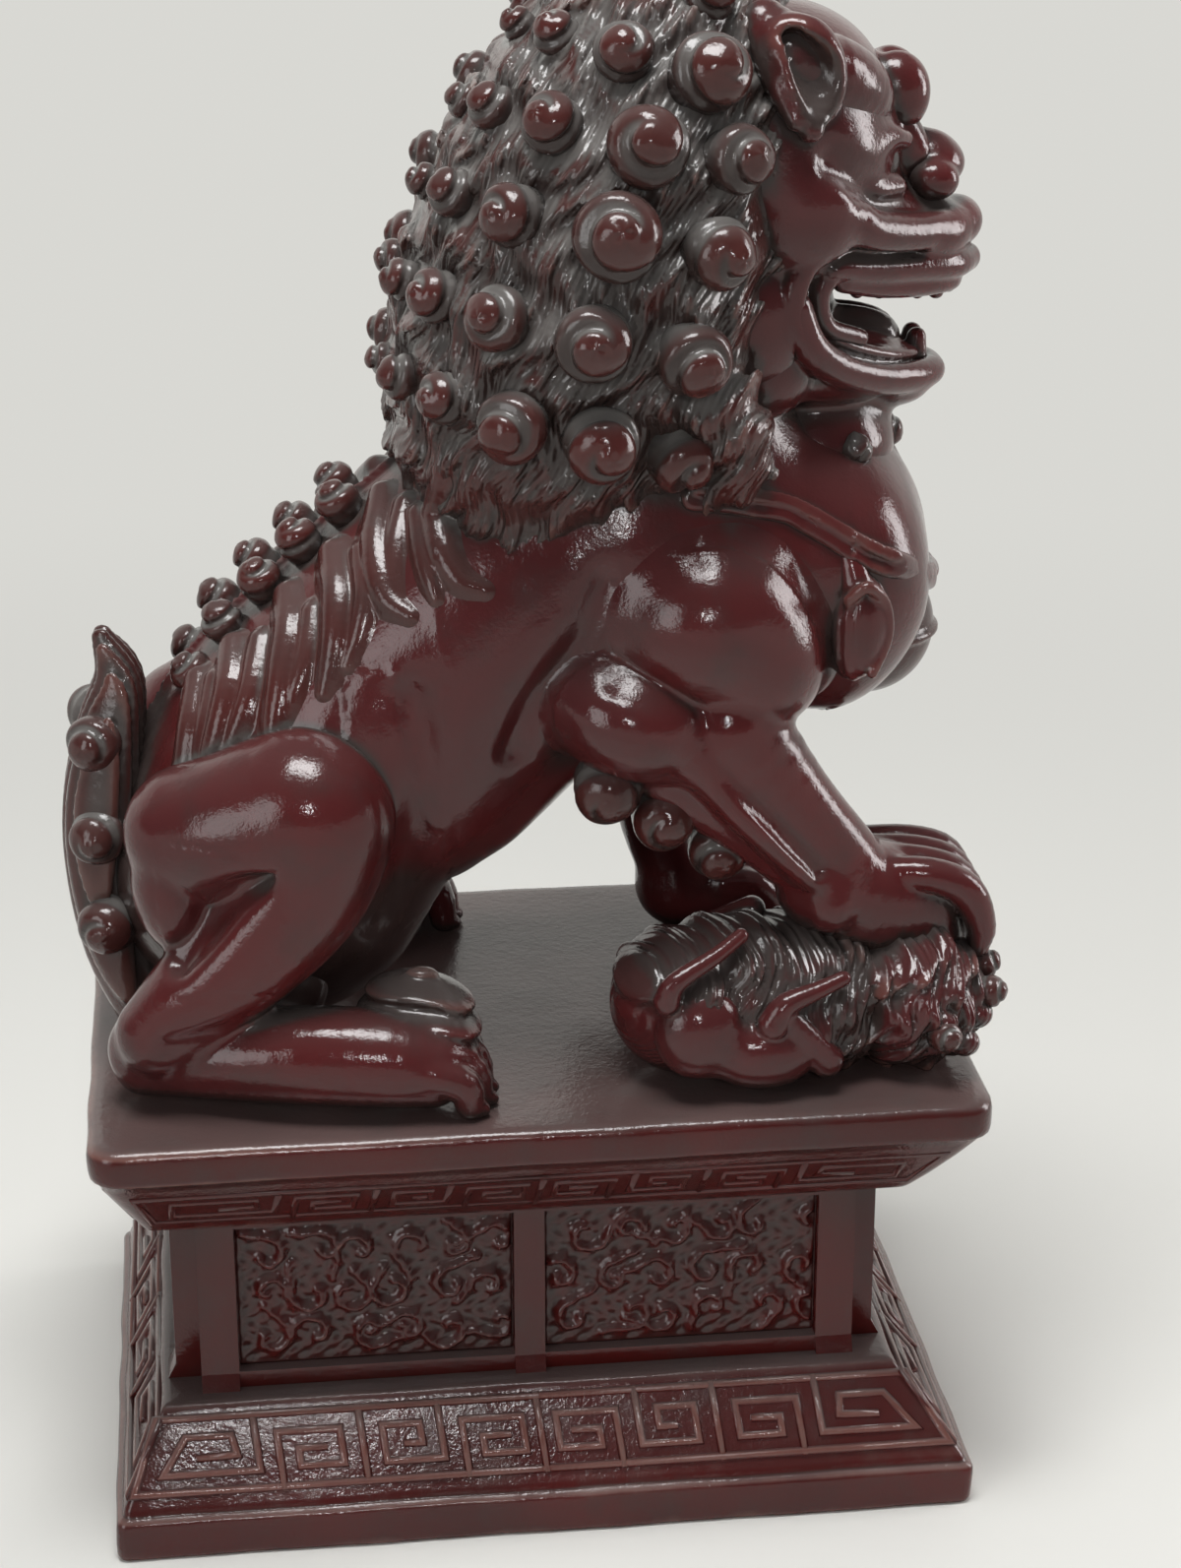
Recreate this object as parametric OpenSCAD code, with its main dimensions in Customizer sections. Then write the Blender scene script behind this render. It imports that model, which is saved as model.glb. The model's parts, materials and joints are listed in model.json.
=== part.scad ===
// Seated guardian lion with a cub under its right forepaw, on a stepped plinth.
// The lion faces +X, its right side faces -Y, and the plinth stands on Z = 0.

/* [Plinth] */
// Length of the foot and of its plain band
foot_l = 125; // [105:1:150]
// Width of the foot
foot_w = 86; // [80:1:104]
// Height of the plain band at the bottom of the foot
band_h = 6.5; // [4:0.5:10]
// Height of the sloped part of the foot
slope_h = 13.5; // [10:0.5:18]
// How far the slope leans in on each side
slope_in = 9.25; // [6:0.25:11]
// Length of the waist
waist_l = 103; // [84:0.5:105]
// Width of the waist
waist_w = 60.5; // [52:0.5:66]
// Height of the waist
waist_h = 28.6; // [22:0.2:36]
// Middle of the waist along the plinth
waist_x = -1.7; // [-2.5:0.1:2.5]
// Side of the square notch cut out of each waist corner
notch = 3.7; // [2:0.1:5]
// Width of the posts beside the corners of the waist
corner_post_w = 5.5; // [4:0.5:8]
// Width of the post in the middle of a long side
mid_post_w = 4.5; // [3:0.5:8]
// How far the foot of a post stands out
post_foot_out = 1.2; // [0.6:0.1:2.4]
// Height of the foot of a post
post_foot_h = 2.4; // [1:0.1:4]
// Depth of the recesses that hold the panels
recess = 2.2; // [1.4:0.1:3]
// Height of the plain rail above and below a panel
rail_h = 2.6; // [1.5:0.1:4]
// Thickness of a carved panel
panel_t = 1.7; // [1:0.1:2.4]
// Height of the sloped underside of the cap
ovolo_h = 11.5; // [8:0.5:16]
// How far the underside of the cap leans out on each side
ovolo_out = 8.5; // [6:0.25:9]
// Length of the slab on top
slab_l = 127; // [125:0.5:150]
// Width of the slab on top
slab_w = 86; // [82:1:106]
// Thickness of the slab
slab_h = 5.3; // [4:0.1:8]
// Corner radius of the slab, seen from above
slab_round = 4.5; // [2:0.5:8]

/* [Body] */
// Width of the chest
chest_w = 54; // [44:1:66]
// Width of the rump
rump_w = 54; // [46:1:64]
// Height of the spine above the slab at the shoulders
back_h = 98; // [81:1:110]
// Fall of the spine from the shoulders to the rump
rump_drop = 38; // [30:1:46]
// Front of the breast, measured from the middle of the plinth
breast_x = 60; // [54:1:64]
// Back of the rump, measured from the middle of the plinth
rump_x = -57; // [-60:1:-50]

/* [Mane] */
// Height of the middle of the mane above the spine
mane_rise = 12; // [6:1:18]
// Length of the mane from front to back
mane_l = 50; // [44:1:60]
// Room between the head and the seats of the curls beside the cheeks
mane_out = 2; // [1:0.5:6]
// Height of the mane
mane_h = 94; // [84:1:102]
// How far the mane leans forward, in degrees
mane_tilt = 20; // [12:1:26]
// Middle of the mane along the plinth
mane_x = 11; // [6:1:15]
// Radius of the small curls at the back of the mane
curl_small = 2.9; // [2:0.1:3.4]
// Radius of the large curls at the sides of the mane
curl_big = 6; // [4.8:0.1:7.2]
// How far a curl stands out, as a part of its radius
curl_rise = 0.95; // [0.7:0.05:1.2]
// Radius of the curls along the spine
spine_curl_r = 3; // [2.4:0.1:3.8]
// Radius of the curls behind the elbows
elbow_curl_r = 4.2; // [3:0.1:5]
// Room left under a curl where it meets the mane
seat_gap = 0.15; // [0.05:0.05:0.3]

/* [Head] */
// Width of the head across the cheeks
head_w = 48; // [40:1:58]
// Height of the middle of the head above the spine
head_rise = 16; // [10:1:22]
// Height of the crown above the middle of the head
crown_rise = 34; // [28:1:40]
// Foremost point of the upper lip
lip_x = 65; // [60:1:70]
// Width of the muzzle
muzzle_w = 34; // [28:1:40]
// Height of the upper lip above the middle of the head
lip_rise = 3; // [-1:1:7]
// Foremost point of the chin
chin_x = 60; // [56:1:64]
// Depth of the chin below the middle of the head
chin_drop = 18; // [14:1:22]
// Radius of an eyeball
eye_r = 4; // [3:0.1:5]
// Length of a fang
fang_l = 6; // [4:0.5:8]

/* [Legs] */
// Radius of a shoulder muscle
shoulder_r = 15; // [12:0.5:18]
// Thickness of a forearm
forearm_t = 17; // [14:0.5:20]
// Width of a forepaw
paw_w = 19; // [16:0.5:23]
// Height of a haunch above the slab
haunch_h = 54; // [46:1:64]
// Thickness of a haunch, measured across the figure
haunch_t = 26; // [22:1:32]
// Length of a hind foot
hind_foot_l = 46; // [40:1:54]
// Width of a hind foot
hind_foot_w = 15; // [12:0.5:18]

/* [Tail] */
// Height of the tip of the tail above the slab
tail_h = 60; // [50:1:72]
// Width of the tail across the figure
tail_w = 24; // [18:1:30]
// Thickness of the tail from front to back
tail_t = 13; // [10:0.5:16]

/* [Collar] */
// Width of the collar strap
collar_w = 5; // [3.5:0.5:7]
// How far the strap stands out from the chest
collar_t = 1.6; // [1:0.1:2.4]
// Radius of the bell on the breast
bell_r = 10.5; // [8:0.5:11.5]
// Length of a tassel
tassel_l = 15; // [12:0.5:18]

/* [Cub] */
// Length of the cub
cub_l = 51; // [43:1:56]
// Width of the cub
cub_w = 25; // [21:0.5:28]
// Height of the cub
cub_h = 22; // [18:0.5:24]

/* [Hidden] */

lacquer = "#5b1d1c";
dark_lacquer = "#3f1715";

// Sides of the rounded forms, from the largest to the smallest
finest = 24;
fine = 16;
plain = 12;
small = 8;
tiny = 6;
// Sides of the turned curls and of the slab corners
turned = 40;
// Overshoot of a cut past the face it cuts
over = 1;
// Half of the widest cut
far = 200;

foot_h = band_h + slope_h;
waist_top = foot_h + waist_h;
cap_l = slab_l - 2 * ovolo_out;
cap_w = slab_w - 2 * ovolo_out;
slab_bottom = waist_top + ovolo_h;
plinth_h = slab_bottom + slab_h;

// Share of the mane's width at the curls beside the cheeks
cheek_share = 0.777;
// Sizes that follow from the spine and the head
mane_z = back_h + mane_rise;
head_z = back_h + head_rise;
crown_z = head_z + crown_rise;
lip_z = head_z + lip_rise;
chin_z = head_z - chin_drop;
mane_w = (head_w + 2 * mane_out) / cheek_share;
rump_h = back_h - rump_drop;

// Rounded form of the given radii at a place
module lump(at, r, sides = plain)
    translate(at)
        scale(r)
            sphere(1, $fn = sides);

// Chain of rounded forms, each blended into the next; a step is [place, radii]
module chain(steps, sides = plain)
    for (i = [0 : len(steps) - 2])
        hull() {
            lump(steps[i][0], steps[i][1], sides);
            lump(steps[i + 1][0], steps[i + 1][1], sides);
        }

// The same form on the left side and on the right side
module both_sides() {
    children();
    mirror([0, 1, 0])
        children();
}

// Everything that stands on the slab, cut level with its top
module on_slab()
    translate([0, 0, plinth_h])
        difference() {
            children();
            translate([-far, -far, -far])
                cube([2 * far, 2 * far, far]);
        }

// Block with four sloped sides, from one plan size to another, its bottom moved along the plinth
module sloped_block(l0, w0, l1, w1, h, x0 = 0)
    intersection() {
        rotate([90, 0, 0])
            linear_extrude(2 * far, center = true)
                polygon([[x0 - l0 / 2, 0], [x0 + l0 / 2, 0], [l1 / 2, h], [-l1 / 2, h]]);
        rotate([90, 0, 90])
            linear_extrude(2 * far, center = true)
                polygon([[-w0 / 2, 0], [w0 / 2, 0], [w1 / 2, h], [-w1 / 2, h]]);
    }

// Rectangle with round corners, as a plate
module round_plate(l, w, h, r) {
    linear_extrude(h)
        union() {
            square([l - 2 * r, w], center = true);
            square([l, w - 2 * r], center = true);
            for (x = [-1, 1], y = [-1, 1])
                translate([x * (l / 2 - r), y * (w / 2 - r)])
                    circle(r, $fn = turned);
        }
}

// Foot: plain band with a sloped field above it
module plinth_foot()
    color(dark_lacquer)
        union() {
            translate([-foot_l / 2, -foot_w / 2, 0])
                cube([foot_l, foot_w, band_h]);
            translate([0, 0, band_h])
                sloped_block(foot_l, foot_w, foot_l - 2 * slope_in, foot_w - 2 * slope_in, slope_h);
        }

// Room for panels: the long sides have two each, the short sides one
long_bay = (waist_l - 2 * notch - 2 * corner_post_w - mid_post_w) / 2;
short_bay = waist_w - 2 * notch - 2 * corner_post_w;
bay_h = waist_h - 2 * rail_h;
bay_z = foot_h + rail_h;
// Room between a panel and the edges of its recess
panel_room = 0.2;

// Puts a bay's block, of a given thickness, at the bottom of every recess
module in_each_bay(trim, t, depth)
    for (side = [-1, 1]) {
        for (half = [-1, 1])
            translate([half * (mid_post_w + long_bay) / 2, side * (waist_w / 2 - depth), bay_z + bay_h / 2])
                rotate([90, 0, side < 0 ? 0 : 180])
                    flat_block(long_bay - 2 * trim, bay_h - 2 * trim, t);
        translate([side * (waist_l / 2 - depth), 0, bay_z + bay_h / 2])
            rotate([90, 0, side * 90])
                flat_block(short_bay - 2 * trim, bay_h - 2 * trim, t);
    }

// Flat block standing on its back face
module flat_block(l, h, t)
    translate([-l / 2, -h / 2, 0])
        cube([l, h, t]);

// Sloped foot at the bottom of a post, as wide as the post and sunk a little into it
module post_foot(w)
    rotate([90, 0, 90])
        linear_extrude(w, center = true)
            polygon([[-over, 0], [post_foot_out, 0], [0, post_foot_h], [-over, post_foot_h]]);

// Feet of the posts on a side of the waist, at a distance from its middle plane
module post_feet(half_l, half_w) {
    at = half_l - notch - corner_post_w / 2;
    for (x = [-at, at])
        translate([x, half_w, foot_h])
            post_foot(corner_post_w);
}

// Waist: corners notched, with posts and sunk bays between them
module plinth_waist()
    color(dark_lacquer)
        translate([waist_x, 0, 0])
            union() {
                difference() {
                    translate([-waist_l / 2, -waist_w / 2, foot_h])
                        cube([waist_l, waist_w, waist_h]);
                    for (x = [-1, 1], y = [-1, 1])
                        translate([x * waist_l / 2, y * waist_w / 2, foot_h + waist_h / 2])
                            cube([2 * notch, 2 * notch, waist_h + 2 * over], center = true);
                    in_each_bay(0, recess + over, recess);
                }
                for (side = [0, 180])
                    rotate([0, 0, side]) {
                        post_feet(waist_l / 2, waist_w / 2);
                        translate([0, waist_w / 2, foot_h])
                            post_foot(mid_post_w);
                        rotate([0, 0, 90])
                            post_feet(waist_w / 2, waist_l / 2);
                    }
            }

// Six panels, one on the bottom of each bay
module waist_panels()
    color(lacquer)
        translate([waist_x, 0, 0])
            in_each_bay(panel_room, panel_t, recess);

// Cap: sloped underside and a slab with rounded corners
module plinth_cap()
    color(dark_lacquer)
        union() {
            translate([0, 0, waist_top])
                sloped_block(cap_l, cap_w, slab_l - 2, slab_w - 2, ovolo_h, waist_x);
            translate([0, 0, slab_bottom])
                round_plate(slab_l, slab_w, slab_h, slab_round);
        }

// Torso, from the seat over the loin and ribs to the breast and the neck
chest_y = chest_w / 2;
rump_y = rump_w / 2;
seat_r = 22;
breast_r = 22;
torso_steps = [
    [[rump_x + seat_r, 0, rump_h - 33], [seat_r, rump_y, 29]],
    [[rump_x + seat_r + 7, 0, rump_h - 20], [seat_r, rump_y, 27]],
    [[-19, 0, back_h - 50], [22, rump_y - 1, 29]],
    [[-4, 0, back_h - 36], [22, chest_y - 2, 28]],
    [[14, 0, back_h - 26], [24, chest_y, 26]],
    [[breast_x - breast_r, 0, back_h - 28], [breast_r, chest_y - 2, 22]]
];
neck_steps = [
    [[14, 0, back_h - 26], [22, chest_y - 4, 22]],
    [[mane_x + 7, 0, head_z - 16], [22, chest_y - 6, 18]]
];

module torso_form(grow = 0) {
    chain([for (s = torso_steps) [s[0], s[1] + [grow, grow, grow]]], fine);
    chain([for (s = neck_steps) [s[0], s[1] + [grow, grow, grow]]], plain);
    // Two swellings of the breast
    both_sides()
        hull() {
            lump([breast_x - 16, -11, back_h - 30], [13 + grow, 13 + grow, 16 + grow]);
            lump([breast_x - 13, -9, back_h - 36], [11 + grow, 11 + grow, 12 + grow]);
        }
}

module torso()
    color(lacquer)
        on_slab()
            torso_form();

// Mane: one egg-shaped mass round the neck and the back of the head, leaning forward
mane_at = [mane_x, 0, mane_z];
mane_r = [mane_l / 2, mane_w / 2, mane_h / 2];

module mane_form()
    translate(mane_at)
        rotate([0, mane_tilt, 0])
            lump([0, 0, 0], mane_r, finest);

module mane()
    color(dark_lacquer)
        on_slab()
            difference() {
                mane_form();
                torso_form();
                head_form();
            }

// Head without the lower jaw: skull, cheeks, muzzle and the flared upper lip
head_y = head_w / 2;
skull_r = 20;

module head_form() {
    lump([32, 0, crown_z - skull_r], [21, head_y, skull_r], fine);
    hull() {
        lump([30, 0, crown_z - 24], [18, head_y, 16]);
        lump([44, 0, crown_z - 16], [10, head_y - 6, 12]);
    }
    hull() {
        lump([42, 0, lip_z + 6], [13, muzzle_w / 2 + 3, 10]);
        lump([lip_x - 11, 0, lip_z + 1], [8, muzzle_w / 2 - 1, 6]);
    }
    // Upper lip, rising to a flared tip
    hull() {
        lump([46, 0, lip_z - 2], [11, muzzle_w / 2 + 2, 4]);
        lump([lip_x - 6, 0, lip_z - 1], [6, muzzle_w / 2 - 5, 4]);
    }
    both_sides()
        hull() {
            lump([36, -head_y + 8, lip_z + 7], [9, 8, 10], small);
            lump([38, -head_y + 8, lip_z - 4], [7, 7, 7], small);
        }
}

module head()
    color(lacquer)
        on_slab()
            difference() {
                head_form();
                torso_form();
            }

// Lower jaw, dropped open and hung from behind the mouth corners
jaw_steps = [
    [[31, 0, chin_z + 3], [12, head_y - 5, 9]],
    [[45, 0, chin_z + 1], [11, muzzle_w / 2 - 1, 6.5]],
    [[chin_x - 6, 0, chin_z - 1], [6, muzzle_w / 2 - 6, 5.5]]
];

module jaw_form() {
    chain(jaw_steps);
    // Throat between the jaw and the breast
    hull() {
        lump([34, 0, chin_z - 2], [14, head_y - 8, 10], small);
        lump([40, 0, chin_z - 12], [10, head_y - 12, 8], small);
    }
}

module lower_jaw()
    color(lacquer)
        on_slab()
            difference() {
                jaw_form();
                torso_form();
                mane_form();
                head_form();
            }

// Tongue, lying on the jaw with its tip curled up
module tongue_form() {
    hull() {
        lump([40, 0, chin_z + 8], [7, 8, 3], small);
        lump([49, 0, chin_z + 7], [5, 7, 2.6], small);
    }
    hull() {
        lump([49, 0, chin_z + 7], [5, 7, 2.6], small);
        lump([53, 0, chin_z + 7.5], [2.6, 5, 2.2], small);
    }
}

module tongue()
    color(lacquer)
        on_slab()
            difference() {
                tongue_form();
                jaw_form();
                head_form();
                mane_form();
                torso_form();
            }

// Row of teeth on an arc across the mouth, with a longer fang at each end
module tooth_row(at, arc_r, spread, length, up) {
    count = 6;
    for (i = [0 : count - 1]) {
        turn = -spread + i * 2 * spread / (count - 1);
        is_fang = i == 0 || i == count - 1;
        reach = is_fang ? length : length * 0.6;
        translate(at)
            rotate([0, 0, turn])
                translate([arc_r, 0, 0])
                    hull() {
                        lump([0, 0, 0], [1.4, 1.8, 1.6], tiny);
                        lump([0.4, 0, up * reach], [0.5, 0.6, 0.6], tiny);
                    }
    }
}

module upper_teeth()
    color(lacquer)
        on_slab()
            difference() {
                tooth_row([lip_x - 21, 0, lip_z - 4.5], 13, 60, fang_l, -1);
                head_form();
            }

module lower_teeth()
    color(lacquer)
        on_slab()
            difference() {
                tooth_row([chin_x - 18, 0, chin_z + 3], 12.5, 50, fang_l, 1);
                jaw_form();
                tongue_form();
                head_form();
            }

// Nose: a broad bulb on its bridge, with two nostril wings
nose_at = [lip_x - 6, 0, lip_z + 7];

module nose_form() {
    hull() {
        lump(nose_at, [5.5, 6, 5], small);
        lump(nose_at + [-8, 0, 3], [4, 4, 3], small);
    }
    both_sides()
        hull() {
            lump(nose_at + [-1, -5, -1.5], [4, 4, 3.6], small);
            lump(nose_at + [-4, -6, -2], [3, 3, 3], small);
        }
}

module nose()
    color(lacquer)
        on_slab()
            difference() {
                nose_form();
                head_form();
            }

// Brows: two swollen ridges over the eyes, rising at the outside
brow_at = [42, -11, crown_z - 11];

module brow_form()
    both_sides() {
        hull() {
            lump(brow_at + [3, 3, -3], [6, 6, 6], small);
            lump(brow_at + [-1, -3, 2], [7, 6, 8], small);
        }
        hull() {
            lump(brow_at + [-1, -3, 2], [7, 6, 8], small);
            lump(brow_at + [-5, -5, 5], [6, 5, 6], small);
        }
    }

module brows()
    color(lacquer)
        on_slab()
            difference() {
                brow_form();
                head_form();
                mane_form();
            }

// Eyeballs, sunk below the brows
module eye_form()
    both_sides()
        lump([51, -10, lip_z + 9], [eye_r, eye_r, eye_r], plain);

module eyes()
    color(dark_lacquer)
        on_slab()
            difference() {
                eye_form();
                head_form();
                brow_form();
                nose_form();
            }

// Ears: drooping leaves with a hollow face
ear_at = [36, -head_y + 3, crown_z - 6];

module ear_form()
    both_sides()
        difference() {
            hull() {
                lump(ear_at + [0, 2, 4], [3.6, 3.4, 3.4], small);
                lump(ear_at + [1.5, -1, -2], [4.4, 3, 4.2], small);
                lump(ear_at + [3.5, -1, -8.5], [1.2, 1.2, 1.2], small);
            }
            hull() {
                lump(ear_at + [0.5, -2.6, 3], [1.8, 2.2, 1.8], tiny);
                lump(ear_at + [1.7, -4.4, -2.4], [2.6, 1.8, 2.8], tiny);
                lump(ear_at + [3.2, -3.4, -5.6], [0.7, 0.9, 0.7], tiny);
            }
        }

module ears()
    color(lacquer)
        on_slab()
            difference() {
                ear_form();
                head_form();
                mane_form();
                brow_form();
            }

// Turned curl with a knob at its middle and a dished seat, standing on z = 0
module curl(r, dish) {
    rise = r * curl_rise;
    knob = r * 0.42;
    steps = 4;
    seat = [for (i = [0 : steps]) let(x = r * i / steps) [x, sqrt(dish * dish - x * x) - dish + seat_gap]];
    dome = [for (i = [0 : steps]) let(a = 60 * i / steps) [r * cos(a), rise * 0.85 * sin(a)]];
    tip = [for (i = [0 : steps]) let(a = 15 + 75 * i / steps) [knob * cos(a), rise - knob + knob * sin(a)]];
    rotate_extrude($fn = turned)
        polygon(concat(seat, dome, [[r * 0.46, rise * 0.66]], tip));
}

// Curls of one side of the mane: rows from the crown down, rising towards the face
// Each row: [height angle at the back, height angle at the cheek, share of the full size, turns]
upper_rows = [
    [53, 63, 0.62, [32, 86]],
    [37, 45, 0.9, [0, 31, 59, 91]],
    [21, 31, 0.95, [0, 24, 49, 78, 108]]
];
lower_rows = [
    [6, 16, 0.95, [0, 25, 49, 78, 109]],
    [-10, -1, 0.95, [11, 33, 56, 82, 112]],
    [-25, -18, 0.88, [0, 25, 46, 69, 95, 123]]
];
// Lengths and heights of the mane, in large curls, for which the rows are set out
curls_along = 8.34;
curls_up = 15.67;
// The rows spread when the curls grow against the mane; what no longer fits is left off
turn_spread = curls_along * curl_big / min(mane_l, mane_w);
lift_spread = curls_up * curl_big / mane_h;
cheek_turn = 110;
last_turn = 126;
last_lift = -27;
// Flattest round of the mane, which the seats of the curls follow
mane_round = mane_h * mane_h / mane_l / 2;

function blend(a, b, t) = a + (b - a) * min(1, max(0, t));
// Curls grow from the spine to the side and shrink a little again towards the cheek
curl_fade = 0.7;
function mane_curl_r(turn) =
    blend(curl_small, curl_big, (turn - 5) / 75) - blend(0, curl_fade, (turn - 85) / 25);

function row_lift(lift) = 90 - (90 - lift) * lift_spread;

// Places a child on the mane, upright on its surface
module on_mane(turn, lift) {
    dir = [-cos(lift) * cos(turn), -cos(lift) * sin(turn), sin(lift)];
    out = [for (i = [0 : 2]) dir[i] / mane_r[i]];
    translate(mane_at)
        rotate([0, mane_tilt, 0])
            translate([for (i = [0 : 2]) mane_r[i] * dir[i]])
                rotate([0, acos(out[2] / norm(out)), atan2(out[1], out[0])])
                    children();
}

// Rows of curls from a first turn on, so that only one side has those on the middle line
module mane_curls(rows, first = 0)
    color(lacquer)
        translate([0, 0, plinth_h])
            for (row = rows)
                for (turn = row[3])
                    if (turn >= first && turn * turn_spread < last_turn && row_lift(row[0]) > last_lift)
                        on_mane(turn * turn_spread, row_lift(blend(row[0], row[1], turn / cheek_turn)))
                            curl(row[2] * mane_curl_r(turn), mane_round);

module upper_curls_right()
    mane_curls(upper_rows);

module lower_curls_right()
    mane_curls(lower_rows);

module upper_curls_left()
    mirror([0, 1, 0])
        mane_curls(upper_rows, 1);

module lower_curls_left()
    mirror([0, 1, 0])
        mane_curls(lower_rows, 1);

// Small round curl with a knob, cut to its seat by what carries it
module bud(at, r, lean = [0, 0, -1]) {
    lump(at, [r, r, r], small);
    lump(at + lean * r * 0.75, [r, r, r] * 0.5, tiny);
}

// Beard: a row of buds in the crease between the jaw and the breast
module beard_form()
    for (i = [-2 : 2])
        bud([breast_x - 6 - abs(i) * 3.2, i * 6, back_h - 12.5], 3.4, [0.6, 0, -0.6]);

module beard_curls()
    color(lacquer)
        on_slab()
            difference() {
                beard_form();
                jaw_form();
                torso_form();
                mane_form();
                head_form();
            }

// Point of a rounded form that lies furthest in a direction
function furthest(step, way) =
    let(r = step[1], reach = [for (i = [0 : 2]) r[i] * way[i]])
        step[0] + [for (i = [0 : 2]) r[i] * reach[i]] / norm(reach);

// Back of the torso beside the spine, from the ribs down to the tail: [step, way out]
spine_ways = [
    [3, [-0.6, -0.17, 0.8]],
    [2, [-0.64, -0.17, 0.77]],
    [1, [-0.7, -0.17, 0.7]],
    [1, [-0.97, -0.17, 0.25]]
];
spine_points = [for (s = spine_ways) furthest(torso_steps[s[0]], s[1])];
spine_runs = [for (i = [0 : len(spine_ways) - 2]) norm(spine_points[i + 1] - spine_points[i])];
// Room between two curls of the spine
spine_room = 1.8;
spine_pitch = 2 * spine_curl_r + spine_room;
spine_count = floor((spine_runs[0] + spine_runs[1] + spine_runs[2]) / spine_pitch);
// Lift that keeps the curls clear of the bulging back
spine_lift = 0.8;

// Run of the back line, and share of that run, at a distance from its start
function spine_run(d, i = 0) =
    d <= spine_runs[i] || i == len(spine_runs) - 1
        ? [i, d / spine_runs[i]]
        : spine_run(d - spine_runs[i], i + 1);

// Places a child beside the spine, upright on the back, at a distance from the mane
module on_spine(d) {
    run = spine_run(d);
    i = run[0];
    at = spine_points[i] + (spine_points[i + 1] - spine_points[i]) * run[1];
    out = spine_ways[i][1] + (spine_ways[i + 1][1] - spine_ways[i][1]) * run[1];
    translate(at + out * spine_lift)
        rotate([0, acos(out[2] / norm(out)), atan2(out[1], out[0])])
            children();
}

// Two rows of turned curls along the spine
module spine_curls()
    color(lacquer)
        translate([0, 0, plinth_h])
            both_sides()
                for (i = [1 : spine_count - 1])
                    on_spine((i + 0.5) * spine_pitch)
                        curl(spine_curl_r, rump_y);

// Flame-shaped lock of hair lying on the flank, its tip swept forward
module hair_lock(root, tip, thick) {
    count = 3;
    for (i = [0 : count - 1]) {
        a = i / count;
        b = (i + 1) / count;
        hull() {
            lump(blend_point(root, tip, a), lock_radii(thick, a), tiny);
            lump(blend_point(root, tip, b), lock_radii(thick, b), tiny);
        }
    }
}

function blend_point(p, q, t) = p + (q - p) * t + [-3 * sin(180 * t), 0, 0];
function lock_radii(thick, t) = [thick, 1.6, thick] * (1.05 - t) + [0.3, 0.3, 0.3];

// Locks behind the shoulder and over the rump, each lying on a form of the torso
// Each is [form, way out at the root, way out at the tip, thickness]
lock_ways = [
    [3, [-0.38, -0.55, 0.74], [-0.02, -1, 0.12], 3.4],
    [3, [-0.66, -0.52, 0.55], [-0.4, -0.9, 0.02], 3.4],
    [2, [-0.44, -0.58, 0.66], [-0.22, -0.97, 0.14], 3.2],
    [2, [-0.72, -0.56, 0.45], [-0.58, -0.82, 0.06], 3.2],
    [1, [-0.68, -0.53, 0.52], [-0.66, -0.74, 0.16], 3]
];
lock_list = [
    for (w = lock_ways)
        let(form = torso_steps[w[0]])
            [furthest(form, w[1]), furthest(form, w[2]), w[3]]
];

module lock_form()
    both_sides()
        for (lock = lock_list)
            hair_lock(lock[0], lock[1], lock[2]);

module back_locks()
    color(dark_lacquer)
        on_slab()
            difference() {
                lock_form();
                torso_form();
                mane_form();
                leg_forms();
            }

// Place of the cub: its hind end and its middle line
cub_x = 14;
cub_y = -chest_y + 1.5;
cub_ry = cub_w / 2;

// Forelegs: shoulder, elbow, forearm and paw
shoulder_y = chest_y - 4;
shoulder_at = [25, -shoulder_y, back_h - 30];
elbow_at = [14, -shoulder_y - 1, back_h - 44];
forearm_r = forearm_t / 2;
paw_y = cub_y + 5;
paw_z = cub_h + 1;
forearm_at = elbow_at + [17, 2, -12];
wrist_at = [42, paw_y - 1, paw_z + 5];
knee_at = [22, elbow_at[1], elbow_at[2] * 0.6];

module shoulder_form() {
    hull() {
        lump(shoulder_at, [shoulder_r, shoulder_r - 2, shoulder_r], fine);
        lump(shoulder_at + [2, 5, 8], [shoulder_r - 3, shoulder_r - 4, shoulder_r - 3], plain);
    }
    hull() {
        lump(elbow_at, [12, 10, 9], plain);
        lump(elbow_at + [10, 0, 2], [10, 10, 9], plain);
    }
}

// Row of toes across the front of a paw
module toes(at, width, r, count = 4)
    for (i = [0 : count - 1]) {
        across = (i - (count - 1) / 2) * width / count;
        hull() {
            lump(at + [0, across, 0], [r * 1.5, width / count * 0.56, r], tiny);
            lump(at + [r * 1.7, across * 1.05, -r * 0.35], [r * 0.9, width / count * 0.42, r * 0.65], tiny);
        }
    }

module raised_foreleg_form() {
    shoulder_form();
    chain([
        [elbow_at + [6, 0, -1], [10, 9, 9]],
        [forearm_at, [forearm_r, forearm_r, forearm_r]],
        [wrist_at, [forearm_r - 1, forearm_r - 1, forearm_r - 1]],
        [[52, paw_y + 2, paw_z + 1], [9, paw_w / 2, 6]]
    ]);
    toes([55, paw_y + 3, paw_z + 0.5], paw_w, 4);
}

module standing_foreleg_form()
    mirror([0, 1, 0]) {
        shoulder_form();
        chain([
            [elbow_at + [4, 0, -1], [10, 9, 9]],
            [knee_at, [forearm_r, forearm_r, forearm_r]],
            [[27, -shoulder_y - 2, 14], [forearm_r - 1, forearm_r - 1, forearm_r - 1]],
            [[35, -shoulder_y - 2, 6], [10, paw_w / 2, 6]]
        ]);
        toes([41, -shoulder_y - 2, 4.5], paw_w, 4);
    }

module right_foreleg()
    color(lacquer)
        on_slab()
            difference() {
                raised_foreleg_form();
                torso_form();
                mane_form();
                cub_forms();
            }

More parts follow.
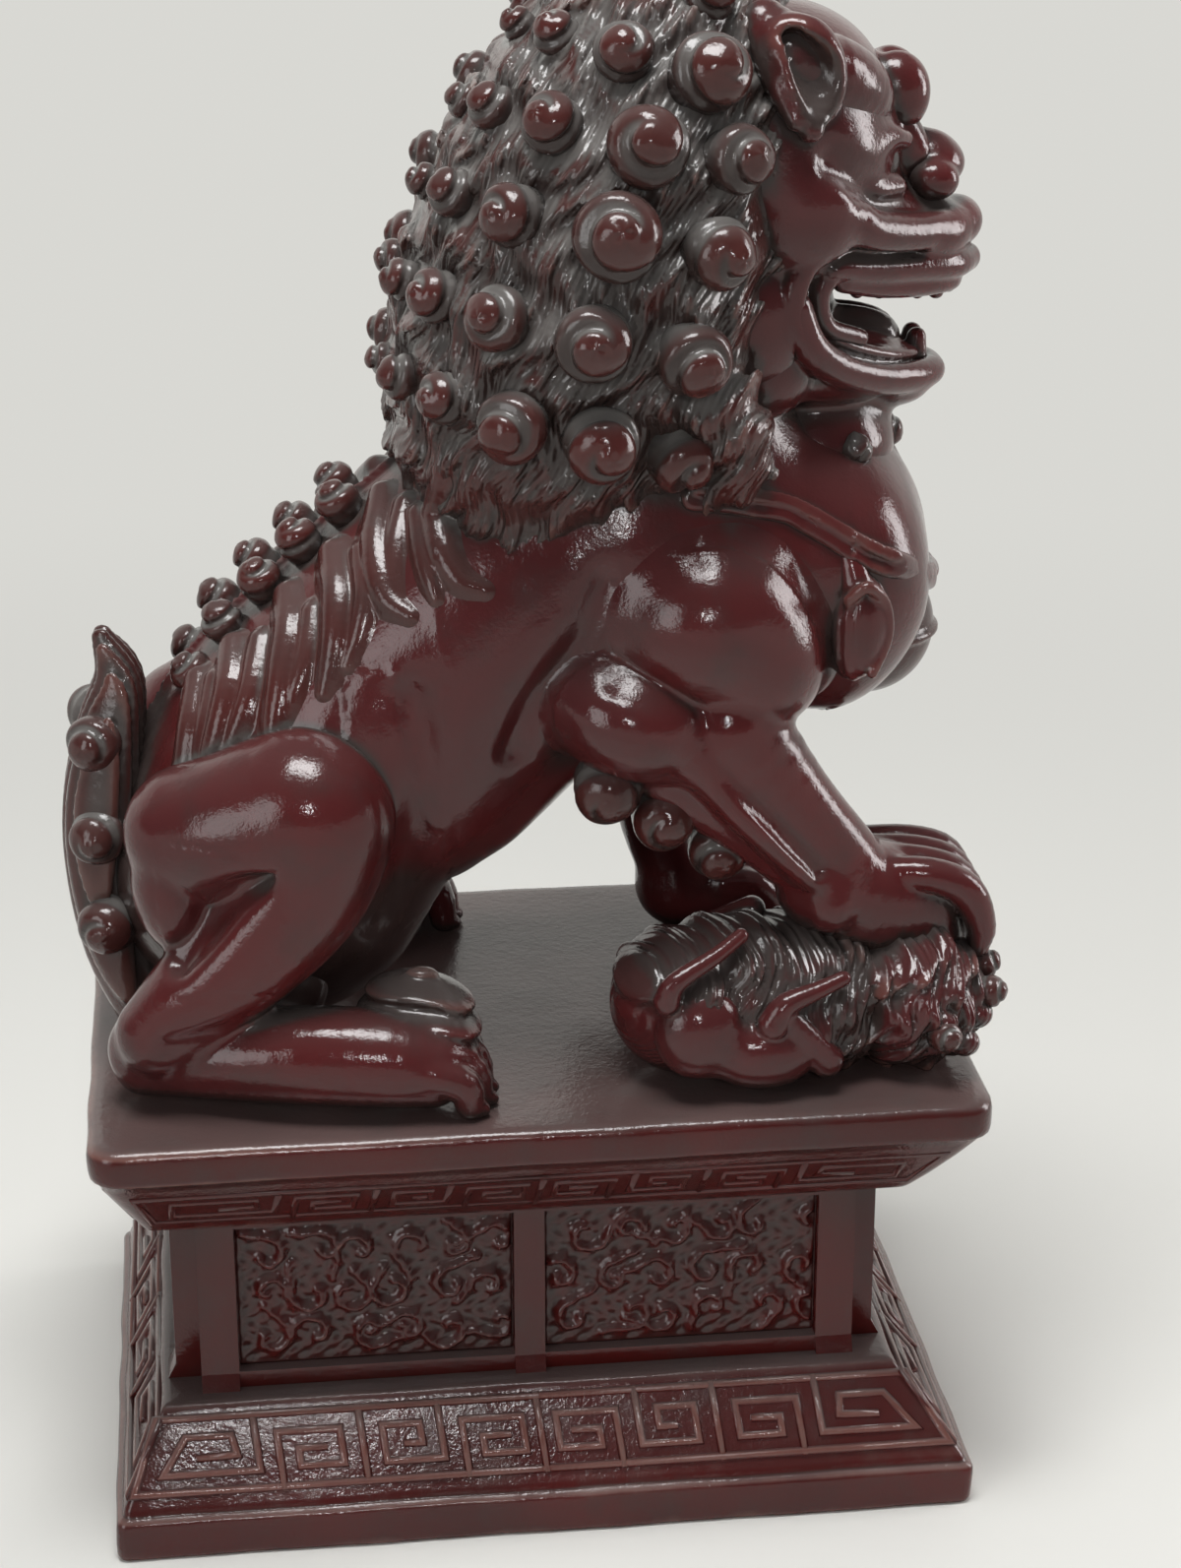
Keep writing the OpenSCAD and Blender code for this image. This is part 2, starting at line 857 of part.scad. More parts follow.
module left_foreleg()
    color(lacquer)
        on_slab()
            difference() {
                standing_foreleg_form();
                torso_form();
                mane_form();
            }

// Three curls trailing down behind an elbow, from one place to another
elbow_curl_at = elbow_at + [-4, -4, -9];

module elbow_buds(from, to)
    for (i = [0 : 2])
        bud(from + i / 2 * (to - from), elbow_curl_r - i * 0.3, [0, -0.9, -0.3]);

module right_elbow_form()
    elbow_buds(elbow_curl_at, forearm_at + [-5, -2, -9]);

module left_elbow_form()
    mirror([0, 1, 0])
        elbow_buds(elbow_curl_at, knee_at + [2.5 - forearm_r, -4, -7]);

module right_elbow_curls()
    color(lacquer)
        on_slab()
            difference() {
                right_elbow_form();
                raised_foreleg_form();
                torso_form();
                cub_forms();
            }

module left_elbow_curls()
    color(lacquer)
        on_slab()
            difference() {
                left_elbow_form();
                standing_foreleg_form();
                torso_form();
            }

// Hind legs: folded haunch, calf running back to the hock, and a long flat foot
haunch_y = rump_y - 4;
haunch_r = haunch_t / 2;
heel_x = rump_x + 6;
foot_z = 6;

module hind_leg_form() {
    chain([
        [[rump_x + 11, -haunch_y + 2, haunch_h - 20], [13, haunch_r - 1, 15]],
        [[rump_x + 22, -haunch_y, haunch_h - 16], [15, haunch_r, 16]],
        [[rump_x + 29, -haunch_y - 1, haunch_h - 19], [11, haunch_r - 1, 16]],
        [[rump_x + 27, -haunch_y - 2, 22], [10, haunch_r - 3, 11]],
        [[heel_x + 6, -haunch_y - 4, 11], [8, 7, 8]]
    ]);
    chain([
        [[heel_x + 2, -haunch_y - 5, foot_z], [6, hind_foot_w / 2, 6]],
        [[heel_x + hind_foot_l * 0.5, -haunch_y - 7, foot_z + 1], [9, hind_foot_w / 2, 8]],
        [[heel_x + hind_foot_l * 0.78, -haunch_y - 8, foot_z], [8, hind_foot_w / 2 + 0.5, 7]]
    ]);
    toes([heel_x + hind_foot_l * 0.84, -haunch_y - 8, foot_z - 1], hind_foot_w + 1, 4.4);
}

module right_hind_leg()
    color(lacquer)
        on_slab()
            difference() {
                hind_leg_form();
                torso_form();
            }

module left_hind_leg()
    color(lacquer)
        on_slab()
            mirror([0, 1, 0])
                difference() {
                    hind_leg_form();
                    torso_form();
                }

module leg_forms() {
    raised_foreleg_form();
    standing_foreleg_form();
    both_sides()
        hind_leg_form();
}

// Tail: an upright flame curving up against the rump
function tail_at(t) = [rump_x + 0.5 - 3.4 * sin(160 * t), 0, 6 + (tail_h - 7) * t];
function tail_radii(t) = [tail_t / 2, tail_w / 2, 8] * (1.04 - t * t) * blend(0.75, 1, 3 * t);

module tail_form() {
    count = 8;
    for (i = [0 : count - 1])
        hull()
            for (t = [i / count, (i + 1) / count])
                lump(tail_at(t), tail_radii(t), small);
}

module tail()
    color(lacquer)
        on_slab()
            difference() {
                tail_form();
                torso_form();
                both_sides()
                    hind_leg_form();
            }

// Curls at both sides of the tail
module tail_bud_form()
    both_sides()
        for (t = [0.28, 0.52, 0.76])
            bud(tail_at(t) + [2, -tail_radii(t)[1] * 0.86, 0], 3.6 - t, [0, -0.9, 0.3]);

module tail_curls()
    color(lacquer)
        on_slab()
            difference() {
                tail_bud_form();
                tail_form();
                torso_form();
                both_sides()
                    hind_leg_form();
            }

// Collar: the part of a slightly larger breast that lies in a slanted slice
collar_at = [breast_x - 16, 0, back_h - 22];
collar_lean = 30;

module collar_form()
    intersection() {
        torso_form(collar_t);
        translate(collar_at)
            rotate([0, collar_lean, 0])
                cube([70, 2 * chest_w, collar_w], center = true);
    }

module collar()
    color(lacquer)
        on_slab()
            difference() {
                collar_form();
                torso_form();
                mane_form();
                raised_foreleg_form();
                standing_foreleg_form();
            }

// Bell on the breast, hanging from the middle of the collar
bell_at = [breast_x - 9.5, 0, back_h - 40];

module bell_form()
    difference() {
        union() {
            lump(bell_at, [bell_r, bell_r, bell_r], fine);
            translate(bell_at)
                cylinder(h = 1.4, r = bell_r + 0.5, center = true, $fn = fine);
        }
        translate(bell_at + [0, 0, -bell_r])
            cube([4 * bell_r, 1.2, bell_r * 1.1], center = true);
    }

module bell()
    color(dark_lacquer)
        on_slab()
            difference() {
                bell_form();
                torso_form();
                collar_form();
            }

// Tassels hanging from the collar at both sides of the breast
tassel_at = [breast_x - 15.5, -chest_y + 3, back_h - 28];

module tassel_form()
    both_sides()
        hull() {
            lump(tassel_at, [3, 3.4, 3.4], small);
            lump(tassel_at - [-1, 0, tassel_l * 0.45], [4.4, 4.4, tassel_l * 0.4], small);
        }

module tassels()
    color(lacquer)
        on_slab()
            difference() {
                tassel_form();
                torso_form();
                collar_form();
                raised_foreleg_form();
                standing_foreleg_form();
            }

// Cub lying on its side under the raised paw
module cub_body_form() {
    chain([
        [[cub_x + 10, cub_y + 1, cub_h * 0.44], [10, cub_ry - 1, cub_h * 0.5]],
        [[cub_x + 22, cub_y, cub_h * 0.42], [10, cub_ry - 1.5, cub_h * 0.45]],
        [[cub_x + 34, cub_y, cub_h * 0.44], [9, cub_ry - 1, cub_h * 0.5]]
    ]);
}

module cub_head_form() {
    hull() {
        lump([cub_x + cub_l - 10, cub_y + 1, cub_h * 0.5], [9, cub_ry - 2, cub_h * 0.52], plain);
        lump([cub_x + cub_l - 7, cub_y - 3, cub_h * 0.42], [7, cub_ry - 5, cub_h * 0.44], plain);
    }
}

// Folded legs of the cub: a haunch with its shank, and a foreleg across the belly
module cub_leg_form() {
    chain([
        [[cub_x + 8, cub_y - cub_ry + 5, cub_h * 0.3], [6, 5, 6]],
        [[cub_x + 13, cub_y - cub_ry + 4, cub_h * 0.62], [5, 4, 4]],
        [[cub_x + 20, cub_y - cub_ry + 5, cub_h * 0.86], [3.4, 3.4, 3]]
    ], small);
    chain([
        [[cub_x + 33, cub_y - cub_ry + 4, cub_h * 0.3], [4, 4, 4]],
        [[cub_x + 25, cub_y - cub_ry + 4, cub_h * 0.5], [4, 3.6, 4]],
        [[cub_x + 33, cub_y - cub_ry + 5, cub_h * 0.72], [3.4, 3.4, 3.2]]
    ], small);
}

module cub_bud_form() {
    cub_end = cub_x + cub_l;
    bud_r = 2.4;
    for (i = [0 : 3]) {
        bud_z = cub_h * (i % 2 == 0 ? 0.35 : 0.51);
        bud([cub_end - 8 + bud_r * i, cub_y - cub_ry + 3.5 + 2 * i, bud_z], bud_r, [0.5, -0.8, 0]);
    }
    bud([cub_end - 0.5, cub_y + 1, cub_h * 0.62], bud_r, [0.9, 0, 0]);
}

module cub_forms() {
    cub_body_form();
    cub_head_form();
    cub_leg_form();
    cub_bud_form();
}

module cub_body()
    color(lacquer)
        on_slab()
            difference() {
                cub_body_form();
                torso_form();
            }

module cub_head()
    color(lacquer)
        on_slab()
            difference() {
                cub_head_form();
                cub_body_form();
                torso_form();
            }

module cub_legs()
    color(lacquer)
        on_slab()
            difference() {
                cub_leg_form();
                cub_body_form();
                cub_head_form();
                torso_form();
            }

module cub_curls()
    color(lacquer)
        on_slab()
            difference() {
                cub_bud_form();
                cub_body_form();
                cub_head_form();
                cub_leg_form();
                torso_form();
            }

plinth_foot();
plinth_waist();
waist_panels();
plinth_cap();
torso();
mane();
head();
lower_jaw();
tongue();
upper_teeth();
lower_teeth();
nose();
brows();
eyes();
ears();
beard_curls();
upper_curls_right();
lower_curls_right();
upper_curls_left();
lower_curls_left();
spine_curls();
back_locks();
right_foreleg();
left_foreleg();
right_elbow_curls();
left_elbow_curls();
right_hind_leg();
left_hind_leg();
tail();
tail_curls();
collar();
bell();
tassels();
cub_body();
cub_head();
cub_legs();
cub_curls();
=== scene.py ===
import json
import math
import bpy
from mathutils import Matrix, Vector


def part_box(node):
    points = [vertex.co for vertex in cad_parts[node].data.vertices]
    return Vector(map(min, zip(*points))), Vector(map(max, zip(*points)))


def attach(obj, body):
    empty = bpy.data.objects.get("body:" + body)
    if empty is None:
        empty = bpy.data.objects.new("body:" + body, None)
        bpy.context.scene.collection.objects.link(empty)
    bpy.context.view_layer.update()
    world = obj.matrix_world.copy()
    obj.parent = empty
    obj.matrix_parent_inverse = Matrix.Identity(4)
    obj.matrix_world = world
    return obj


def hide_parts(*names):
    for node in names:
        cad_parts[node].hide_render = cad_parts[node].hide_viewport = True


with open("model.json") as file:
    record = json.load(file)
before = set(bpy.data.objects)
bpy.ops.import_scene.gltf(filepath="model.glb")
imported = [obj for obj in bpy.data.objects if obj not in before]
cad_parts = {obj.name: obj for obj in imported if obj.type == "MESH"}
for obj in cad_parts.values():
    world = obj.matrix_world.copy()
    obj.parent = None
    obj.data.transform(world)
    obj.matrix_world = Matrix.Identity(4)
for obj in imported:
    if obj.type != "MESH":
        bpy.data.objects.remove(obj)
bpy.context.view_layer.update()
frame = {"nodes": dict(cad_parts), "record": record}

from concurrent.futures import ThreadPoolExecutor

import bmesh
import bpy
import numpy as np
import openvdb
from mathutils import Vector

bl_info = {
    "name": "Guardian Lion Figurine",
    "version": (1, 0, 0),
    "blender": (4, 5, 0),
    "location": "View3D > Sidebar > Lion",
    "description": "Carves a seated guardian lion with a cub on a stepped plinth, in lacquered cast resin",
    "category": "Object",
}

MM = 0.001
# The lion is carved in millimetres above the slab, and the plinth above the floor
SLAB_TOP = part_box("plinth_cap")[1].z / MM
COARSER = 1.0
# Where the camera stands and aims, in millimetres
EYE = np.array([-41.5, -433.3, 271.1])
AIM = np.array([10.83, 0, 99.7])
# Focal length and size of its picture, in picture points, and height of its sensor
FOCUS = 3247.3
PICTURE = (1200, 1593)
SENSOR_HEIGHT = 36
# Stretch of a line of sight that meets the lion, and the step along it, in millimetres
SIGHT = (330, 560, 0.25)
SEED = 41
# One turn, for strokes and curls that start anywhere
TURN = 6.28


# Carving tools: every form is a field, negative inside, in millimetres

# A limb is worked out up to this distance from its box, and is only roughly known beyond it
LIMB_REACH = 4
FAR_AWAY = 99.0


def length(v):
    return np.sqrt(np.einsum("ij,ij->i", v, v))


def ball(p, at, r, lean=0.0):
    """Rounded form with three radii, leaning forwards by an angle in the XZ plane."""
    q = p - np.asarray(at, float)
    if lean:
        c, s = math.cos(lean), math.sin(lean)
        q = np.stack([c * q[:, 0] + s * q[:, 2], q[:, 1], c * q[:, 2] - s * q[:, 0]], 1)
    r = np.asarray(r, float)
    k0 = length(q / r)
    k1 = length(q / (r * r))
    return k0 * (k0 - 1) / np.maximum(k1, 1e-6)


def spline(knots, steps=4):
    """Smooth run through knots of any size."""
    k = np.asarray(knots, float)
    if len(k) < 3:
        return k
    ext = np.vstack([2 * k[0] - k[1], k, 2 * k[-1] - k[-2]])
    t = (np.arange(steps) / steps)[:, None]
    run = []
    for a, b, c, d in zip(ext, ext[1:], ext[2:], ext[3:]):
        run.append(0.5 * (2 * b + (c - a) * t + (2 * a - 5 * b + 4 * c - d) * t ** 2
                          + (3 * b - a - 3 * c + d) * t ** 3))
    return np.vstack(run + [k[-1:]])


def limb(p, knots, steps=4):
    """Round limb through knots of place and radius."""
    run = spline(knots, steps)
    reach = run[:, 3].max()
    low, high = run[:, :3].min(0) - reach, run[:, :3].max(0) + reach
    away = length(np.maximum(np.maximum(low - p, p - high), 0))
    close = np.flatnonzero(away < LIMB_REACH)
    q = p[close]
    best = np.full(len(q), FAR_AWAY)
    for a, b in zip(run, run[1:]):
        ab = b[:3] - a[:3]
        qa = q - a[:3]
        t = np.clip(qa @ ab / max(ab @ ab, 1e-9), 0, 1)
        np.minimum(best, length(qa - t[:, None] * ab) - a[3] - (b[3] - a[3]) * t, out=best)
    away[close] = best
    return away


def gap(p, line, steps=4):
    """Distance to a thin line."""
    return limb(p, [(*k, 0) for k in line], steps)


def join(k, *fields):
    """Union with a soft crease of width k."""
    out = fields[0]
    for f in fields[1:]:
        h = np.maximum(k - np.abs(out - f), 0) / k
        out = np.minimum(out, f) - h * h * k / 4
    return out


def cut(a, b, k=0.6):
    """First form less the second, with a soft rim."""
    return -join(k, -a, b)


def swell(d, width):
    """Soft band from 1 on a line to 0 away from it."""
    return np.exp(-(d / width) ** 2)


def strands(across, along, pitch, beat):
    """Ridges of hair from 0 to 1, each broken into strokes of its own."""
    c = across * (math.pi / pitch)
    scatter = 437.6 * np.abs(np.sin(np.floor(c / math.pi) * 12.99))
    start = TURN * np.modf(scatter)[0]
    return np.abs(np.sin(c)) * (0.3 + 0.35 * (1 + np.sin(along * beat + start)))


def fold(p):
    """Both sides carved as the near one."""
    q = p.copy()
    q[:, 1] = -np.abs(q[:, 1])
    return q


def side_view(p):
    """Points laid on the middle plane, for lines that run through both sides."""
    q = p.copy()
    q[:, 1] = 0
    return q


def far_side(p):
    """Points of the far side, carved as the near one."""
    return p * (1, -1, 1)


def blend(a, b, t):
    return a + (b - a) * np.clip(t, 0, 1)


def seen_at(field, u, v):
    """Point of a form that the camera sees at a place in its picture."""
    ahead = (AIM - EYE) / np.linalg.norm(AIM - EYE)
    right = np.cross(ahead, (0, 0, 1))
    right /= np.linalg.norm(right)
    across, down = u - PICTURE[0] / 2, v - PICTURE[1] / 2
    way = ahead + right * across / FOCUS - np.cross(right, ahead) * down / FOCUS
    p = EYE - (0, 0, SLAB_TOP) + np.arange(*SIGHT)[:, None] * way
    hit = np.flatnonzero(field(p) < 0)
    if not len(hit):
        raise RuntimeError(f"nothing to lie on at {u}, {v}")
    return p[hit[0]]


FORMS = {}


def form(name, low, high, fine, flow=None, shade=0.0):
    """Keeps a field with its box, its finest detail, the flow of its hair and how much painted shade it gets.
    """
    def keep(field):
        FORMS[name] = (field, np.array(low, float), np.array(high, float), fine, flow, shade)
        return field
    return keep


def standing(f, p):
    """A form cut off a little below the top of the slab."""
    return np.maximum(f, -0.7 - p[:, 2])


# Body

def trunk(p):
    q = fold(p)
    s = q * (1, 0.92, 1)
    back = limb(s, [(-36, 0, 26, 24), (-28, 0, 40, 25), (-17, 0, 49, 26), (-3, 0, 62, 26), (14, 0, 72, 26),
                    (36, 0, 70, 23)], 3)
    neck = limb(s, [(13, 0, 74, 22), (18, 0, 98, 21)])
    breast = join(3, ball(q, (44, -11, 68), (13, 13, 16)), ball(q, (43.5, -10, 60), (9.5, 11, 10.5)))
    return join(4, join(6, back, neck), breast)


# Painted shade on the torso, darker towards its bottom between the legs
def under_shade(p):
    return 0.8 * np.clip((36 - p[:, 2]) / 12, 0, 1)


@form("torso", (-64, -34, -2), (64, 34, 120), 0.9, shade=under_shade)
def torso(p):
    f = trunk(p)
    q = side_view(p)
    # Crease behind the shoulder, hollow of the flank and the seams of the mould
    f = f + 1.5 * swell(gap(q, [(9.5, 0, 74), (6, 0, 66), (0, 0, 58), (-3.5, 0, 50)]), 2.2)
    f = f + 1.8 * swell(gap(q, [(-17, 0, 58), (-15.5, 0, 47), (-18, 0, 34), (-22, 0, 24)]), 3.2)
    f = f - 0.35 * swell(gap(q, [(-19, 0, 62), (-18.7, 0, 53.6), (-13.9, 0, 39)]), 0.7)
    back = np.clip((p[:, 2] - p[:, 0] * 0.62 - 48) / 8, 0, 1)
    f = f - 1.1 * back * swell(p[:, 1], 0.8)
    f = f - 0.35 * np.sin(p[:, 0] * 0.22 + 1) * np.sin(p[:, 2] * 0.19) * np.sin(p[:, 1] * 0.13 + 0.6)
    return standing(f, p)


# Locks of the flank, root to tip, by their place in the camera's picture
BROAD_LOCKS = [
    [(452, 480), (447, 520), (451, 560), (467, 589), (492, 600)],
    [(388, 502), (383, 545), (385, 582), (393, 609), (416, 626)],
    [(337, 562), (343, 602), (342, 642), (336, 676), (329, 704)],
    [(291, 604), (294, 642), (287, 690), (280, 730), (276, 757)],
    [(236, 656), (234, 696), (225, 735), (215, 762), (207, 781)],
    [(200, 690), (197, 730), (191, 768), (186, 788), (182, 802)],
]
THIN_LOCKS = [
    [(424, 522), (431, 560), (438, 590), (443, 608)],
    [(410, 512), (402, 550), (399, 585), (404, 606)],
    [(366, 560), (371, 602), (365, 640), (352, 676)],
    [(316, 622), (312, 662), (300, 700), (291, 728)],
    [(262, 650), (254, 700), (241, 738), (229, 764)],
    [(217, 690), (211, 730), (204, 765), (198, 790)],
]
# Radius along a lock, in millimetres
BROAD_RADII = (1.7, 2.2, 2.0, 1.4, 0.4)
THIN_RADII = (1.0, 1.3, 1.1, 0.3)
LOCK_RUNS = []


def flank(p):
    return np.minimum(trunk(p), mane_mass(p))


def lock_runs():
    """Locks laid on the flank, the broad ones with a thin one between each two."""
    if not LOCK_RUNS:
        for locks, radii in ((BROAD_LOCKS, BROAD_RADII), (THIN_LOCKS, THIN_RADII)):
            for lock in locks:
                LOCK_RUNS.append([(*seen_at(flank, *k), r) for k, r in zip(lock, radii)])
    return LOCK_RUNS


@form("back_locks", (-56, -34, 38), (2, 34, 98), 0.4)
def back_locks(p):
    q = fold(p)
    f = join(0.4, *[limb(q, run, 5) for run in lock_runs()])
    return np.maximum(join(2.6, f, flank(p) + 0.25), f - 3.2)


@form("tail", (-68, -14, -2), (-46, 14, 64), 0.5)
def tail(p):
    q = (p - (1.5, 0, 0)) * (1, 0.52, 1)
    f = limb(q, [(-56, 0, 2, 5), (-60, 0, 14, 5.6), (-61.4, 0, 26, 6), (-61.2, 0, 36, 5.9),
                 (-59.7, 0, 46, 5), (-58.2, 0, 54, 3.5), (-60.2, 0, 60, 1.5)], 5)
    rise = np.clip((p[:, 2] - 2) / 54, 0, 1)
    spread = (p[:, 1] + 0.4 * (p[:, 0] + 60)) / blend(1.0, 0.45, rise)
    furrows = 0.7 * (0.5 + 0.5 * np.sin(spread * 1.35)) ** 2
    return standing(f + furrows * blend(0.4, 1, rise * 3), p)


# Hind legs

def hind_leg(q):
    """Thigh, shank and foot with a tuft over its instep."""
    leg = limb(q, [(-47, -22, 38.5, 9.6), (-41, -24, 39.4, 11), (-34.5, -25, 41, 12), (-31, -26, 41.6, 11.8),
                   (-32.6, -27, 33, 10.2), (-38, -28, 25.5, 8.8), (-46, -28.5, 18, 7.5),
                   (-53, -28, 11, 6)], 12)
    lobe = ball(q, (-49.5, -22, 30), (6.3, 8.6, 9.5), 0.2)
    groove = gap(q, [(-36.5, -33, 36.6), (-41, -33, 34.5), (-44.5, -32, 30), (-48.6, -31, 22.8)])
    f = join(1.2, leg, lobe) + 2.4 * swell(groove, 2.4)
    web = ball(q, (-40, -20, 14), (11, 6, 9))
    foot = limb(q, [(-55, -25, 5.2, 4.7), (-45, -28, 6.8, 6), (-33, -31.2, 8, 7), (-22, -33, 7.6, 6.8),
                    (-16, -33.4, 6.5, 6)])
    heel = ball(q, (-56.8, -26, 8.2), (3.4, 3.4, 4))
    f = join(1.6, join(1.0, f, web), join(2, foot, heel))
    crease = gap(q, [(-51, -35, 11.5), (-44, -36, 13.5), (-35, -37, 16), (-29, -36, 21)])
    f = f + 1.6 * swell(crease, 1.9)
    for i, y in enumerate((-27, -30.6, -34.2, -37.4)):
        out = -10.2 + 1.1 * i - 0.5 * i * i
        toe = limb(q, [(-21, y * 0.97, 8.6 - i * 0.5, 2.6), (out - 4, y, 9 - i * 0.7, 2.5),
                       (out, y, 6.2 - i * 0.4, 2.5), (out + 0.9, y, 2, 2.1)], 3)
        nail = ball(q, (out + 2.2, y, 1.2), (1.6, 1.0, 1.2))
        f = join(0.7, f, toe, nail)
    tuft = join(3, ball(q, (-17, -26.5, 11.5), (8.5, 7, 6.8), -0.15),
                ball(q, (-13, -30.5, 9), (4.8, 6.2, 5.6)))
    layer = q[:, 2] + 0.12 * q[:, 0] + 0.02 * (q[:, 0] + 17) ** 2
    return join(1.0, f, tuft + 0.45 - 0.45 * np.cos(layer * 2.3))


# Painted shade over the tuft on the instep and beside the shank
def ankle_shade(p):
    q = fold(p)
    tuft = swell(length(q - (-16.5, -28, 16)), 8.5)
    return 0.9 * np.maximum(tuft, swell(length(q - (-29, -24, 16)), 8))


@form("right_hind_leg", (-63, -43, -2), (-4, -8, 60), 0.55, shade=ankle_shade)
def right_hind_leg(p):
    return standing(np.maximum(hind_leg(p), p[:, 1] + 10), p)


@form("left_hind_leg", (-63, 8, -2), (-4, 43, 60), 0.65, shade=ankle_shade)
def left_hind_leg(p):
    return standing(np.maximum(hind_leg(far_side(p)), 10 - p[:, 1]), p)


# Forelegs

def shoulder(q):
    """Shoulder over the elbow, with the crease between them."""
    top = join(4, ball(q, (24, -21.5, 67), (14, 14, 12.8)), ball(q, (31, -21.5, 61), (10, 11.5, 10.5)))
    elbow = ball(q, (13.5, -25, 54), (11.5, 11, 8.8), -0.38)
    crease = gap(q, [(10, -33, 62.5), (17.5, -36, 59.5), (22, -36.5, 54), (26, -36, 50)])
    return join(1.0, top, elbow) + 1.5 * swell(crease, 2.0)


def grown(f, p):
    """A limb that runs softly into the trunk."""
    return np.maximum(join(4, f, torso(p) + 0.4), f - 3)


@form("right_foreleg", (0, -42, 10), (72, -4, 84), 0.55)
def right_foreleg(p):
    upper = limb(p, [(26.5, -25, 52, 8.4), (35.8, -24.8, 40.4, 6.3), (43, -23, 30.5, 6.3)])
    lower = limb(p, [(20.5, -29, 50.4, 4.6), (23.8, -30, 47, 3.4), (28.8, -31, 40.8, 2.7),
                     (35, -30, 34.2, 2.5), (40.4, -28, 28.8, 2.6)])
    groove = gap(p, [(25.8, -34, 47.4), (30.6, -32.6, 41.6), (34.8, -31.6, 36.4), (39, -30.4, 31.6)])
    arm = join(0.7, upper, lower) + 1.5 * swell(groove, 1.1)
    # Ridge behind the arm, which carries its curls
    web = limb(p, [(14, -25.5, 48, 3.6), (21.5, -25.8, 42.6, 4), (29.4, -25.6, 36.6, 3.8),
                   (37, -25, 30, 3.6)])
    f = join(1.6, shoulder(p), join(2, arm, web))
    wrist = ball(p, (41.5, -28.5, 25.5), (3.4, 3.2, 3.8))
    paw = limb(p, [(42, -23, 27, 7.6), (48.5, -21, 23.5, 8.4), (55, -19, 21.6, 7.8)])
    f = join(1.3, f, wrist, paw)
    for i, y in enumerate((-25.6, -20.8, -16.2, -11.8)):
        toe = limb(p, [(48, y * 0.93, 28.5 - abs(i - 1) * 0.4, 2.5), (56, y, 28.4 - i * 0.2, 2.5),
                       (61.5, y, 25.6, 2.6), (64, y * 0.98, 20, 2.2), (63.8, y * 0.98, 16.5, 1.5)])
        f = join(0.5, f, toe)
    sole = ball(p, (53, -19.5, 17.5), (10, 8, 5))
    return grown(join(1.5, f, sole), p)


@form("left_foreleg", (0, 4, -2), (58, 42, 84), 0.65)
def left_foreleg(p):
    q = far_side(p)
    knee = limb(q, [(15, -25, 52, 8.6), (20, -26, 40, 7.4), (23, -26, 30, 7), (25, -26, 18, 6.4),
                    (29, -25.5, 8, 6.6)])
    f = join(1.6, shoulder(q), knee)
    paw = limb(q, [(28, -25.5, 7, 7), (34, -25.5, 6.4, 6.6), (38, -25.5, 5.6, 6)])
    f = join(1.3, f, paw)
    for y in (-20.4, -23.8, -27.2, -30.6):
        toe = limb(q, [(34, y, 8.6, 2.4), (39, y, 8, 2.5), (42, y, 4.6, 2.4), (42.8, y, 1, 1.9)], 3)
        f = join(0.8, f, toe)
    return standing(grown(f, p), p)


# Head, with the mouth carved through

MOUTH = [(43, 0, 108.2, 3.6), (50, 0, 107.6, 4.3), (58, 0, 106.4, 4.9), (68, 0, 105.4, 5.8),
         (78, 0, 105, 6.4)]


def mouth(p, lift=0.0):
    return limb(side_view(p), [(x, y, z + lift, r) for x, y, z, r in MOUTH])


